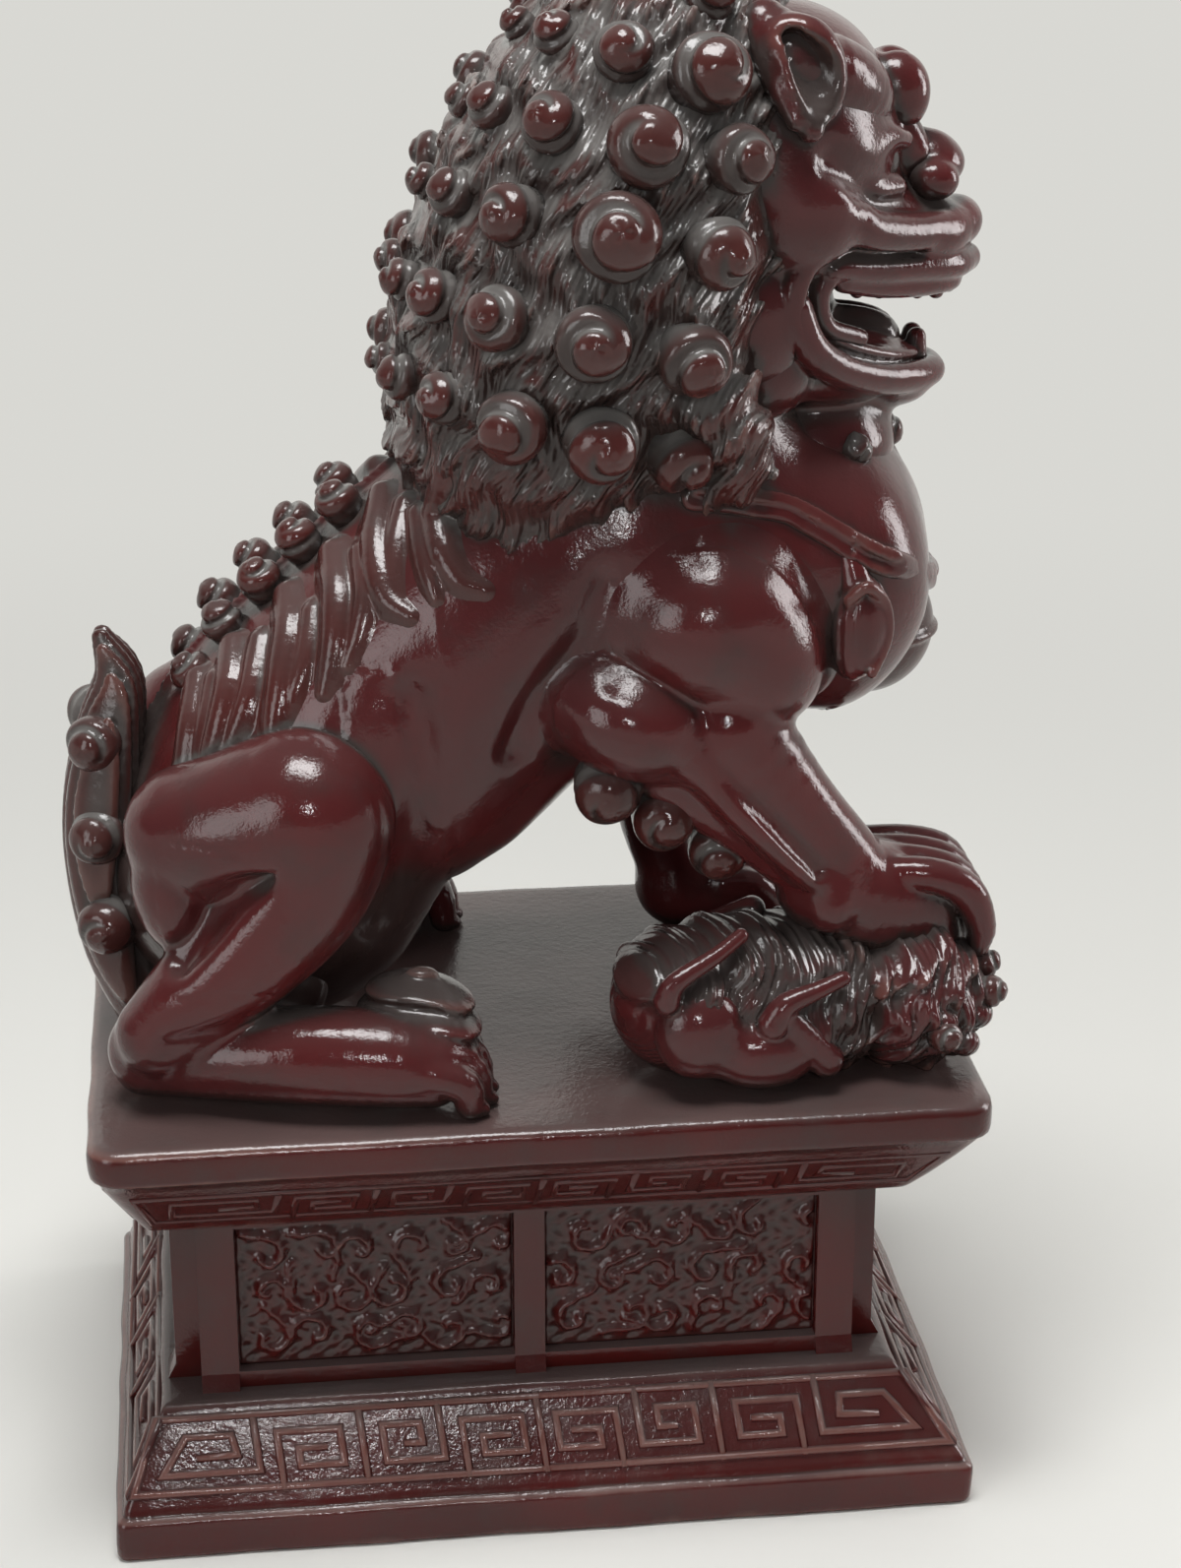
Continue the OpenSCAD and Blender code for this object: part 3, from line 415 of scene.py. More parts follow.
@form("head", (8, -30, 90), (72, 30, 154), 0.5)
def head(p):
    q = fold(p)
    skull = ball(q, (32, 0, 128), (21, 24, 19.5))
    brow = ball(q, (38.6, 0, 136), (11, 17, 9.5))
    cheek = ball(q, (36.5, -17, 122), (9, 8, 9.5))
    jowl = ball(q, (30, -13.5, 107), (9.5, 10, 12))
    muzzle = join(3, ball(q, (44, 0, 119), (12, 17, 7.4)), ball(q, (55, 0, 115.5), (9, 11, 5.6)))
    f = join(3, join(3, skull, brow), muzzle)
    f = join(2.2, f, cheek, jowl)
    under_eye = gap(q, [(40, -22, 128.5), (46, -18, 124), (52, -13, 121), (57.5, -8.5, 120)])
    f = f + 1.8 * swell(under_eye, 2.4)
    lip = limb(q, [(38.6, -20.4, 121.5, 2.6), (43, -18.6, 120.4, 3.1), (47, -16, 118.2, 3),
                   (53, -11.5, 116.9, 2.8), (58.5, -7, 116.5, 2.6), (62.3, -2.5, 116.6, 2.4),
                   (62.8, 0, 116.7, 2.4)])
    tip = ball(q, (62.4, 0, 116.3), (3, 5, 3.3))
    gum = limb(q, [(41, -18.5, 114.4, 1.9), (47, -14.5, 112.8, 2.1), (54.5, -9.5, 112, 2.2),
                   (60.5, -5, 111.2, 2.1), (63.6, 0, 111, 2.1)])
    band = limb(q, [(43, -16.4, 111.6, 1.5), (49, -12.6, 110, 1.6), (55.5, -8, 109, 1.6),
                    (60.4, -3.5, 108.6, 1.6), (61.5, 0, 108.6, 1.6)])
    # Two folds run round the corner of the mouth, with a groove between them
    outer = limb(q, [(44, -18, 118.4, 1.7), (39.6, -20, 117.8, 1.9), (36.2, -20.8, 113.6, 2),
                     (35.4, -20.8, 108.1, 2), (37.9, -20, 103.8, 2), (42.3, -17.4, 100.7, 1.8)])
    inner = limb(q, [(48, -13.4, 114, 1.4), (42.8, -16.8, 113.9, 1.5), (39.4, -18, 110.6, 1.6),
                     (40.6, -17.2, 105.8, 1.5), (46, -13.6, 103.2, 1.3)])
    groove = gap(q, [(54, -11, 114.2), (47, -16.4, 115.4), (42, -19.4, 115.6), (38.2, -20.6, 112.4),
                     (38, -20.6, 106.6), (41, -19, 103)])
    f = join(1.0, f, lip, tip)
    f = cut(f, np.maximum(mouth(p), 37 - p[:, 0]), 1.2)
    f = join(0.8, f, gum)
    f = join(0.6, f, outer)
    f = join(0.6, f, inner, band)
    f = f + 1.1 * swell(groove, 1.0)
    upper_lid = limb(q, [(43.8, -15.4, 126.5, 1.0), (46.5, -14.2, 129, 1.3), (50, -11.4, 130, 1.3),
                         (52.4, -8, 129, 1.3)])
    lower_lid = limb(q, [(44, -15.4, 125.4, 1.0), (47.6, -13.8, 123.4, 1.1), (51.4, -10, 123, 1.2)])
    bridge = limb(q, [(50.6, -2, 131.5, 3.4), (53, -2, 128.6, 3.4), (54.6, -2, 126, 3.2)])
    return join(1.4, f, upper_lid, lower_lid, bridge)


@form("lower_jaw", (24, -28, 72), (66, 28, 118), 0.5)
def lower_jaw(p):
    q = fold(p)
    body = ball(q, (42, 0, 97.5), (14, 15, 6))
    chin = ball(q, (53, 0, 94.6), (6.4, 8, 4.2))
    throat = ball(q, (42, 0, 86), (12, 14, 10))
    jowl = ball(q, (32, -13, 100), (8, 8, 8))
    f = join(2.6, join(2.6, body, chin), throat, jowl)
    f = cut(f, np.maximum(mouth(p, 0.4), 38 - p[:, 0]), 1)
    lip = limb(q, [(35.8, -20.3, 109, 2.4), (37.9, -19.5, 103.8, 2.6), (42.3, -16.5, 100, 2.6),
                   (49.1, -11.5, 97.2, 2.5), (55, -6.5, 96, 2.4), (58.4, -2.5, 95.6, 2.2),
                   (58.8, 0, 95.6, 2.2)])
    gum = limb(q, [(40.2, -16.8, 104.4, 1.6), (45.4, -13.2, 101.2, 1.6), (51, -8.6, 98.8, 1.7),
                   (54.8, -4, 97.8, 1.7), (56, 0, 97.6, 1.7)])
    groove = gap(q, [(38.6, -19.2, 107), (42, -17, 102.4), (49, -12, 99.4), (55.6, -5, 97.4),
                     (57.6, 0, 97)])
    f = join(0.8, f, lip)
    f = join(0.6, f, gum)
    return f + 0.9 * swell(groove, 0.9)


# The tongue gets painted shade inside the mouth
@form("tongue", (34, -12, 94), (60, 12, 114), 0.5, shade=0.4)
def tongue(p):
    f = limb(p * (1, 0.55, 1), [(37, 0, 102.2, 3.4), (42, 0, 102.2, 3.2), (47.4, 0, 102.1, 3),
                                (51.4, 0, 101.1, 2.7), (52.6, 0, 99.2, 2)])
    f = join(1.5, f, ball(p, (39.8, 0, 106), (5, 8, 5)))
    return f + 0.5 * swell(p[:, 1], 0.9)


def pegs(p, k, rows):
    """Teeth of both sides, each by its place, its root and tip height and its radius."""
    q = fold(p)
    return join(k, *[limb(q, [(x, y, root, r), (x + 0.3, y, tip, r * 0.72)])
                     for x, y, root, tip, r in rows])


@form("upper_teeth", (40, -18, 101), (68, 18, 114), 0.4)
def upper_teeth(p):
    return pegs(p, 0.9, [(45, -14.6, 110.8, 109.9, 1.4), (48.6, -12.2, 110.2, 109.2, 1.4),
                         (52, -9.8, 109.8, 108.8, 1.4), (55, -7.2, 109.4, 108, 1.5),
                         (58.2, -4.6, 109.2, 107.4, 1.6), (60.6, -1.6, 109, 107.6, 1.6)])


@form("lower_teeth", (38, -18, 96), (64, 18, 108), 0.4)
def lower_teeth(p):
    return pegs(p, 0.8, [(44, -13.6, 101.6, 102.4, 1.3), (47.6, -11, 100, 100.6, 1.3),
                         (50.6, -8.4, 98.8, 99.4, 1.3), (53.4, -5.4, 98, 99, 1.5),
                         (56.4, -1.5, 97.6, 100.2, 1.9)])


@form("nose", (44, -11, 116), (68, 11, 132), 0.4)
def nose(p):
    q = fold(p)
    ridge = limb(q, [(50, 0, 128, 3.4), (57.5, 0, 125.6, 3.2)])
    f = join(2, ball(q, (58.4, 0, 124.4), (4.4, 5, 3.6)), ridge)
    f = join(0.8, f, ball(q, (57.6, -4.6, 122.8), (3.5, 3.1, 2.9)))
    return cut(f, ball(q, (61.4, -3.6, 121.6), (1.7, 1.3, 1.2)), 0.4)


@form("brows", (28, -27, 126), (62, 27, 150), 0.5)
def brows(p):
    q = fold(p)
    f = limb(q, [(34.5, -17.5, 141, 4.8), (40, -14.6, 138.6, 5.8), (44.2, -11, 136, 5.6),
                 (46.6, -7.4, 133.4, 4.4)])
    bridge = ball(q, (46.5, 0, 133.6), (7.5, 6.5, 7))
    return join(0.9, join(1.6, f, bridge), ball(q, (52.4, -2.4, 134.4), (4.7, 4.2, 5.6)))


# The eyes get painted shade in their sockets
@form("eyes", (42, -18, 119), (58, 18, 134), 0.4, shade=0.5)
def eyes(p):
    q = fold(p)
    f = ball(q, (48, -9.4, 126.4), (3.7, 3.7, 3.2))
    return f + 0.7 * swell(length(q - (51, -11.6, 126.4)), 1.3)


# Painted shade inside each ear
def ear_shade(p):
    return 0.8 * swell(gap(fold(p), [(35, -19.5, 143), (37, -22, 139.6), (37.4, -24, 136)]), 3.2)


@form("ears", (24, -32, 126), (46, 32, 152), 0.45, shade=ear_shade)
def ears(p):
    q = fold(p)
    f = join(2, limb(q, [(31.5, -16, 145.5, 3.6), (35.6, -20.6, 140.5, 5), (36.6, -24, 133.4, 1.8)]),
             ball(q, (36.2, -20.6, 139.8), (5.6, 3.4, 7.6), 0.12))
    f = cut(f, limb(q, [(34.6, -21.5, 144, 1.9), (38, -25, 139.6, 3.2), (37.8, -26.4, 135.4, 1.2)]), 1.8)
    rim = limb(q, [(30.4, -17.6, 145.6, 1.4), (31.6, -22, 140.6, 1.6), (34.4, -24.6, 134.6, 1.3)])
    return join(0.8, f, rim)


# Mane

MANE_AT = (11, 0, 110)
MANE_R = (25, 33.5, 47)
MANE_LEAN = -math.radians(20)


def mane_mass(p):
    return ball(p, MANE_AT, MANE_R, MANE_LEAN)


def mane_flow(p):
    """Places across and along the hair of the mane."""
    y = np.abs(p[:, 1])
    across = 0.9 * p[:, 0] - 0.42 * p[:, 2] + 0.28 * y + 0.8 * np.sin(p[:, 2] * 0.33 + y * 0.4)
    return across, 0.42 * p[:, 0] + 0.9 * p[:, 2]


# The mane between the curls gets painted shade
@form("mane", (-22, -38, 62), (46, 38, 159), 0.5, mane_flow, 0.3)
def mane(p):
    across, along = mane_flow(p)
    waves = np.sin(along * 0.55 + np.sin(across * 0.4) * 2) * np.sin(across * 0.62 + np.sin(along * 0.3))
    tuft = 0.5 + 0.5 * waves
    ruff = limb(fold(p), [(24, -25, 97, 6), (27.5, -24, 91, 5), (26.5, -25, 86, 3)])
    hair = 1.9 * tuft + (0.3 + 0.6 * tuft) * strands(across, along, 1.5, 0.8)
    return np.maximum(join(3, mane_mass(p), ruff) + 0.5 - hair, 64 - p[:, 2])


# Harness

# The strap by its place in the camera's picture, and then round to the middle of the breast in millimetres
STRAP_SEEN = ((705, 506), (752, 511), (800, 520), (841, 542), (872, 560), (905, 574))
STRAP_FRONT = ((57.6, -9, 67.2), (59.4, 0, 65.4))
STRAP = []


def strap_line():
    """Middle of the strap, from the mane down to the middle of the breast."""
    if not STRAP:
        STRAP.extend(tuple(seen_at(trunk, *k)) for k in STRAP_SEEN)
        STRAP.extend(STRAP_FRONT)
    return STRAP


@form("collar", (16, -36, 54), (70, 36, 92), 0.4)
def collar(p):
    q = fold(p)
    line = strap_line()
    near = gap(q, line)
    body = np.maximum(trunk(p) - 1.0, near - 1.9)
    roll = np.maximum(limb(q, [(*k, 0.9) for k in np.add(line, (0.5, -0.6, 1.5))]), trunk(p) - 1.6)
    knot = ball(p, (59.6, 0, 65.6), (2, 2.8, 2))
    return join(0.5, body + 0.3 * swell(near, 0.8), roll, knot)


@form("tassels", (36, -34, 50), (60, 34, 80), 0.4)
def tassels(p):
    q = fold(p)
    f = ball(q, (45, -23.6, 65.2), (4.4, 4.2, 7.6), -0.1)
    f = f - 0.35 * strands(q[:, 0] * 0.8 - q[:, 1] * 0.6, q[:, 2], 1.6, 0.5) * swell(q[:, 0] - 42.6, 3)
    rim = limb(q, [(43, -26.6, 70, 0.8), (45.4, -27.4, 72, 0.9), (48.2, -25.8, 69, 0.9),
                   (48.8, -25.4, 64, 0.8), (46.6, -26.6, 59.4, 0.8)])
    stem = limb(q, [(43.6, -23, 75.4, 1.8), (44.4, -24, 71.5, 2.4)])
    return join(0.6, f, rim, stem)


@form("bell", (38, -13, 45), (64, 13, 71), 0.45)
def bell(p):
    at, r = (50.5, 0, 58), 10.4
    f = ball(p, at, (r, r, r))
    rim = np.hypot(length((p - at)[:, :2]) - r, p[:, 2] - 57.6) - 0.7
    slot = np.maximum(np.abs(p[:, 1]) - 0.7, p[:, 2] - 53.6)
    return cut(join(0.5, f, rim), np.maximum(slot, -f - 2), 0.3)


# Cub, on its back under the paw

def cub_flow(p):
    """Places across and along the hair of the cub."""
    across = 0.85 * p[:, 0] - 0.45 * p[:, 2] + 0.4 * p[:, 1] + 0.6 * np.sin(p[:, 2] * 0.6)
    return across, 0.45 * p[:, 0] + 0.85 * p[:, 2]


# Painted shade, darker over the cub's top and towards its head
def cub_shade(p):
    return 0.45 * np.clip(np.maximum(p[:, 2] - 11, p[:, 0] - 37) / 4, 0, 1)


@form("cub_body", (8, -42, -2), (56, -8, 28), 0.45, cub_flow, cub_shade)
def cub_body(p):
    f = limb(p, [(21, -25, 10.6, 10.4), (31, -24.5, 11.2, 11.2), (42, -24.5, 10, 10)])
    belly = ball(p, (34, -32, 7.6), (9.5, 5.6, 6))
    f = join(1.6, f, belly, ball(p, (22, -33, 11), (6, 4.8, 7)))
    across, along = cub_flow(p)
    patch = np.clip(np.maximum(p[:, 2] - 12, p[:, 0] - 38) / 3, 0, 1)
    tuft = np.sin(across * 0.8) * np.sin(along * 0.7)
    return standing(f - patch * (0.7 * tuft + 0.7 * strands(across, along, 1.6, 0.9)), p)


@form("cub_legs", (8, -44, -2), (58, -14, 30), 0.4)
def cub_legs(p):
    thigh = join(2, ball(p, (22, -34.4, 10), (6.4, 5, 7)), ball(p, (31, -34.6, 6.4), (8, 4.6, 5.4)))
    shank = limb(p, [(17, -36.8, 16, 1.9), (18.2, -37.2, 19, 1.5), (23.9, -35, 21.6, 1.2),
                     (28, -32.4, 23.4, 1.1)])
    arm = limb(p, [(32, -36.5, 11.5, 2.4), (33.8, -36.6, 14.4, 1.8), (38.4, -35.8, 16, 1.3),
                   (42.2, -34.8, 17.2, 1.1)])
    shin = limb(p, [(33.5, -36.4, 13.4, 1.4), (36.4, -36, 9.4, 2.2), (40, -35, 5, 2.6)])
    f = join(0.6, join(1.2, thigh, shank), arm, shin)
    far = limb(p, [(20, -17, 12, 4), (26, -16.4, 17, 2.6), (32, -18, 21, 2)])
    return standing(join(0.4, f, far), p)


# Knobs of the cub's face, by place and radius
CUB_KNOBS = ((62.8, -29.5, 8.2, 2.4), (64, -24, 11.4, 2.3), (60.4, -33, 5.4, 2.2), (57, -34.4, 9.4, 2.0))


# The cub's head gets painted shade
@form("cub_head", (40, -40, -2), (68, -10, 26), 0.4, cub_flow, 0.22)
def cub_head(p):
    f = ball(p, (53.6, -25, 10), (11, 11, 10.5))
    across, along = cub_flow(p)
    tuft = np.sin(across * 0.95 + np.sin(along * 0.4)) * np.sin(along * 0.75 + 1)
    f = f - tuft - 0.9 * strands(across, along, 1.7, 1.2) + 0.5
    for x, y, z, r in CUB_KNOBS:
        f = join(0.5, f, ball(p, (x, y, z), (r, r, r * 0.9)))
    return standing(f, p)


# Curls, placed by the CAD solids

def islands(node):
    """Separate solids of a CAD node, as points in millimetres above the slab."""
    mesh = frame["nodes"][node].data
    co = np.empty(len(mesh.vertices) * 3, np.float32)
    mesh.vertices.foreach_get("co", co)
    key, index = np.unique(np.round(co.reshape(-1, 3) / MM, 3), axis=0, return_inverse=True)
    index = index.ravel()
    root = np.arange(len(key))
    edges = np.array([e.vertices[:] for e in mesh.edges])
    a, b = index[edges[:, 0]], index[edges[:, 1]]
    for _ in range(200):
        low = np.minimum(root[a], root[b])
        before = root.copy()
        np.minimum.at(root, a, low)
        np.minimum.at(root, b, low)
        if (root == before).all():
            break
    return [key[root == k] - (0, 0, SLAB_TOP) for k in np.unique(root)]


CURL_NODES = ("upper_curls_right", "lower_curls_right", "upper_curls_left", "lower_curls_left",
              "spine_curls")
BUD_NODES = ("right_elbow_curls", "left_elbow_curls", "tail_curls", "beard_curls", "cub_curls")
# The way that small curls face; those of the tail and the cub face away from a middle
BUD_WAYS = {"right_elbow_curls": (0.1, -1, -0.1), "left_elbow_curls": (0.1, 1, -0.1),
            "beard_curls": (0.8, 0, -0.5)}
TAIL_MIDDLE = -56
CUB_MIDDLE = (50, -24, 6)
# Slivers of a curl below this radius are left out
LEAST_BUD = 1
CURLS = {}


def middle_of(solid):
    return (solid.min(0) + solid.max(0)) / 2


def radius_of(solid):
    return (solid.max(0) - solid.min(0)).max() / 2


def curl_seat(node, solid):
    """Foot, way out and radius of a curl of the mane or the spine."""
    at = middle_of(solid)
    out = lean_of(trunk if node == "spine_curls" else mane_mass, at[None])[0]
    d = solid - at
    up = d @ out
    return at + out * up.min(), out, length(d - up[:, None] * out).max()


def bud_seat(node, solid):
    """Foot, way out and radius of a small curl."""
    at, r = middle_of(solid), radius_of(solid)
    if node in BUD_WAYS:
        out = np.array(BUD_WAYS[node], float)
    else:
        out = at - ((TAIL_MIDDLE, 0, at[2]) if node == "tail_curls" else CUB_MIDDLE)
    out = out / np.linalg.norm(out)
    if node == "beard_curls":
        at, r = at - out * 1.6, r * 0.8
    elif node == "tail_curls":
        at, r = at + out * 1.8 - (2.4, 0, 0), r * 1.4
    elif node.endswith("elbow_curls"):
        r *= 1.12
    return at - out * r * 0.55, out, r


def find_curls():
    """Takes the seat of every curl once from the CAD solids."""
    if not CURLS:
        for node in CURL_NODES:
            CURLS[node] = [curl_seat(node, solid) for solid in islands(node)]
        for node in BUD_NODES:
            solids = [solid for solid in islands(node) if radius_of(solid) >= LEAST_BUD]
            CURLS[node] = [bud_seat(node, solid) for solid in solids]


def lean_of(field, p, h=0.25):
    """Way out of a form's surface."""
    k = np.array([(1, -1, -1), (-1, -1, 1), (-1, 1, -1), (1, 1, 1)], float)
    g = sum(way * field(p + h * way)[:, None] for way in k)
    return g / np.maximum(length(g), 1e-9)[:, None]


# How far from a form or a curl its distance is still worked out
CROWD_MARGIN = 5


def curls_near(p):
    """Distance to the curls, taken as balls."""
    out = np.full(len(p), 9.0)
    for rows in CURLS.values():
        for at, way, r in rows:
            c = at + way * r * 0.35
            close = np.flatnonzero(np.abs(p - c).max(1) < r + CROWD_MARGIN)
            if len(close):
                out[close] = np.minimum(out[close], length(p[close] - c) - r)
    return out


def crowd(p):
    """Distance to anything carved and to the slab, up to 6 mm."""
    out = np.minimum(np.minimum(6.0, p[:, 2]), curls_near(p))
    for field, low, high, *_ in FORMS.values():
        close = np.flatnonzero(((p > low - CROWD_MARGIN) & (p < high + CROWD_MARGIN)).all(1))
        if len(close):
            out[close] = np.minimum(out[close], field(p[close]))
    return out


BLOCK = 4


def skin(field, low, high, step):
    """Quads over a field's surface, from small blocks of cells near it."""
    blocks = np.ceil((high - low) / step / BLOCK).astype(int)
    cells = np.indices(blocks).reshape(3, -1).T
    coarse = field(low + (cells * BLOCK + (BLOCK - 1) / 2) * step)
    dense = np.where(coarse < 0, -BLOCK * step, BLOCK * step).astype(np.float32).reshape(blocks)
    for axis in range(3):
        dense = dense.repeat(BLOCK, axis)
    inner = np.indices((BLOCK,) * 3).reshape(3, -1).T
    close = cells[np.abs(coarse) < 6 * step + 0.8]
    for part in np.array_split(close, max(1, len(close) // 3000)):
        at = (part[:, None] * BLOCK + inner).reshape(-1, 3)
        dense[at[:, 0], at[:, 1], at[:, 2]] = field(low + at * step)
    grid = openvdb.FloatGrid(float(BLOCK * step))
    grid.copyFromArray(dense)
    points, quads = grid.convertToQuads(isovalue=0.0)
    points = points.astype(float) * step + low
    for _ in range(2):
        f = field(points)
        points = points - lean_of(field, points, 0.3 * step) * np.clip(f, -step, step)[:, None]
    return points, quads.astype(int)


def facing_out(points, faces):
    """Turns the faces outwards."""
    a, b, c = (points[faces[:, i]] for i in range(3))
    volume = np.einsum("ij,ij->i", a, np.cross(b, c)).sum()
    return faces if volume > 0 else faces[:, ::-1]


# How far out of a surface its neighbours are looked for, and how far inside it an edge is felt
NEAR_REACH, FAR_REACH, EDGE_DEPTH = 1.4, 4.5, 1.3


def marks_of(points, ways, field):
    """How much painted shade each point gets from how closely other surfaces hem it in, and how much it lies
    on an edge.
    """
    # Painted shade: the closer other surfaces lie outside a point, the darker it is painted
    tight = crowd(points + NEAR_REACH * ways) / NEAR_REACH
    wide = crowd(points + FAR_REACH * ways) / FAR_REACH
    hollow = np.clip(1.02 - 0.45 * tight - 0.57 * wide, 0, 1)
    edge = np.clip((field(points - EDGE_DEPTH * ways) + EDGE_DEPTH) / EDGE_DEPTH - 0.12, 0, 1)
    return hollow, edge


def shape(name):
    """Points, faces and marks of a form."""
    field, low, high, fine, flow, shade = FORMS[name]
    points, quads = skin(field, low, high, fine * COARSER)
    hollow, edge = marks_of(points, lean_of(field, points, 0.3), field)
    # Each form adds its own painted shade on top
    hollow = np.clip(hollow + (shade(points) if callable(shade) else shade), 0, 1)
    across, along = flow(points) if flow else np.zeros((2, len(points)))
    marks = {"hollow": hollow, "edge": edge, "across": across, "along": along}
    return points, facing_out(points, quads), marks


def ring_quads(rings, around):
    """Quads between closed rings of points."""
    quads = []
    for i in range(rings - 1):
        for j in range(around):
            k = (j + 1) % around
            quads.append((i * around + j, (i + 1) * around + j, (i + 1) * around + k, i * around + k))
    return quads


def shifted(faces, by):
    return [tuple(i + by for i in face) for face in faces]


# A curl: its sweep, the turns and width of its groove, its knob, and its height and neck by its radius
CURL_SWEEP = math.radians(112)
GROOVE_TURNS, GROOVE_WIDTH = 1.6, 0.17
KNOB_RISE, KNOB_WIDTH = 0.08, 0.24
CURL_HEIGHT, CURL_LIFT = 0.95, 0.5
CURL_NECK = np.array([(0.86, -0.28), (0.5, -0.5)])


def curl_form(at, out, r, hand, start, depth):
    """Snail-shell curl: a knob with a spiral groove round it, sunk into its seat by a neck."""
    rings, sectors = ((22, 46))
    s = np.linspace(0, 1, rings)[1:]
    theta = np.arange(sectors) / sectors * 2 * np.pi
    s, t = np.meshgrid(s, theta, indexing="ij")
    polar = s * CURL_SWEEP
    phase = s * GROOVE_TURNS - hand * (t + start) / (2 * np.pi)
    phase = phase - np.floor(phase)
    fade = np.clip((s - 0.16) / 0.16, 0, 1) * np.clip((1.0 - s) / 0.3, 0, 1)
    groove = swell(phase - 0.5, GROOVE_WIDTH) * fade
    lump = 0.02 * np.sin(3 * t + start) * np.sin(s * 7 + start)
    size = r * (1 - depth * groove + KNOB_RISE * swell(s, KNOB_WIDTH) + lump)
    neck = CURL_NECK[:, :, None] * r
    rho = np.vstack([size * np.sin(polar), neck[:, 0].repeat(sectors, 1)])
    z = np.vstack([size * np.cos(polar) * CURL_HEIGHT + r * CURL_LIFT, neck[:, 1].repeat(sectors, 1)])
    # The groove mark, later darkened as painted shade, runs on at 0.6 into the neck
    groove = np.vstack([groove, np.full((2, sectors), 0.6)])
    t = np.vstack([t, t[:2]])
    side = np.cross(out, (0.3, 0.2, 1))
    side /= np.linalg.norm(side)
    ahead = np.cross(out, side)
    points = (at + (rho * np.cos(t))[..., None] * side + (rho * np.sin(t))[..., None] * ahead
              + z[..., None] * out)
    top = at + out * r * ((1 + KNOB_RISE) * CURL_HEIGHT + CURL_LIFT)
    foot = at + out * neck[-1, 1]
    n = len(z)
    faces = ring_quads(n, sectors)
    last = (n - 1) * sectors
    for j in range(sectors):
        k = (j + 1) % sectors
        faces += [(n * sectors, j, k), (n * sectors + 1, last + k, last + j)]
    points = np.vstack([points.reshape(-1, 3), top, foot])
    # Last comes how far each point is sunk in the groove or the neck, which sets its painted shade; the top
    # gets none and the foot the most
    return points, faces, np.append(groove.ravel(), (0, 1))


CURL_REACH = 2.5


def curl_group(node):
    """All the curls of a node as one mesh."""
    chance = np.random.default_rng(SEED + len(node))
    depth = 0.12 if node in BUD_NODES else 0.2
    sizes = (0.86, 0.98) if "_curls_" in node else (1.0, 1.08)
    points, faces, marks, ways = [], [], [], []
    for at, out, r in CURLS[node]:
        tilt = out + chance.normal(0, 0.09, 3)
        tilt /= np.linalg.norm(tilt)
        r *= chance.uniform(*sizes)
        hand = 1 if at[1] < 0 else -1
        p, f, sunk = curl_form(at, tilt, r, hand, chance.uniform(0, TURN), depth)
        faces += shifted(f, len(p) * len(points))
        points.append(p)
        marks.append(sunk)
        ways.append(np.repeat(out[None], len(p), 0))
    points = np.vstack(points)
    sunk = np.concatenate(marks)
    # Painted shade in the grooves and necks, and where other surfaces lie close outside a curl
    tight = crowd(points + CURL_REACH * np.vstack(ways)) / CURL_REACH
    hollow = np.clip(0.85 * sunk + 0.7 * (1 - tight), 0, 1)
    return points, faces, {"hollow": hollow, "edge": np.clip(0.25 - sunk, 0, 1)}


# Finishes

def feed(tree, socket, value):
    """Links a socket to another one, or sets its value."""
    if isinstance(value, bpy.types.NodeSocket):
        tree.links.new(value, socket)
    else:
        socket.default_value = value


def add_node(tree, kind, inputs=(), **settings):
    node = tree.nodes.new(kind)
    for key, value in settings.items():
        setattr(node, key, value)
    for key, value in dict(inputs).items():
        feed(tree, node.inputs[key], value)
    return node


def math_node(tree, operation, *values, clamp=False):
    inputs = dict(enumerate(values))
    return add_node(tree, "ShaderNodeMath", inputs, operation=operation, use_clamp=clamp).outputs[0]


def ramp_node(tree, value, low, high, to_low=0.0, to_high=1.0):
    inputs = {"Value": value, "From Min": low, "From Max": high, "To Min": to_low, "To Max": to_high}
    return add_node(tree, "ShaderNodeMapRange", inputs, interpolation_type="SMOOTHSTEP").outputs[0]


def tint_node(tree, share, a, b):
    """Blend of two colours; the node has sockets of the same name for other kinds, so they go by number."""
    return add_node(tree, "ShaderNodeMix", {0: share, 6: a, 7: b}, data_type="RGBA").outputs[2]


def rgba(colour, level=1.0):
    return (*(c * level for c in colour), 1.0)


# Strands drawn by the bump: how close they lie, how they waver and the beat of their strokes
STRAND_PITCH, STRAND_WAVER, STROKE_BEAT = 6.6, 5.0, 1.5
BUMP_STRENGTH, BUMP_DEPTH = 0.22, 0.0006
RESIN_IOR = 1.46


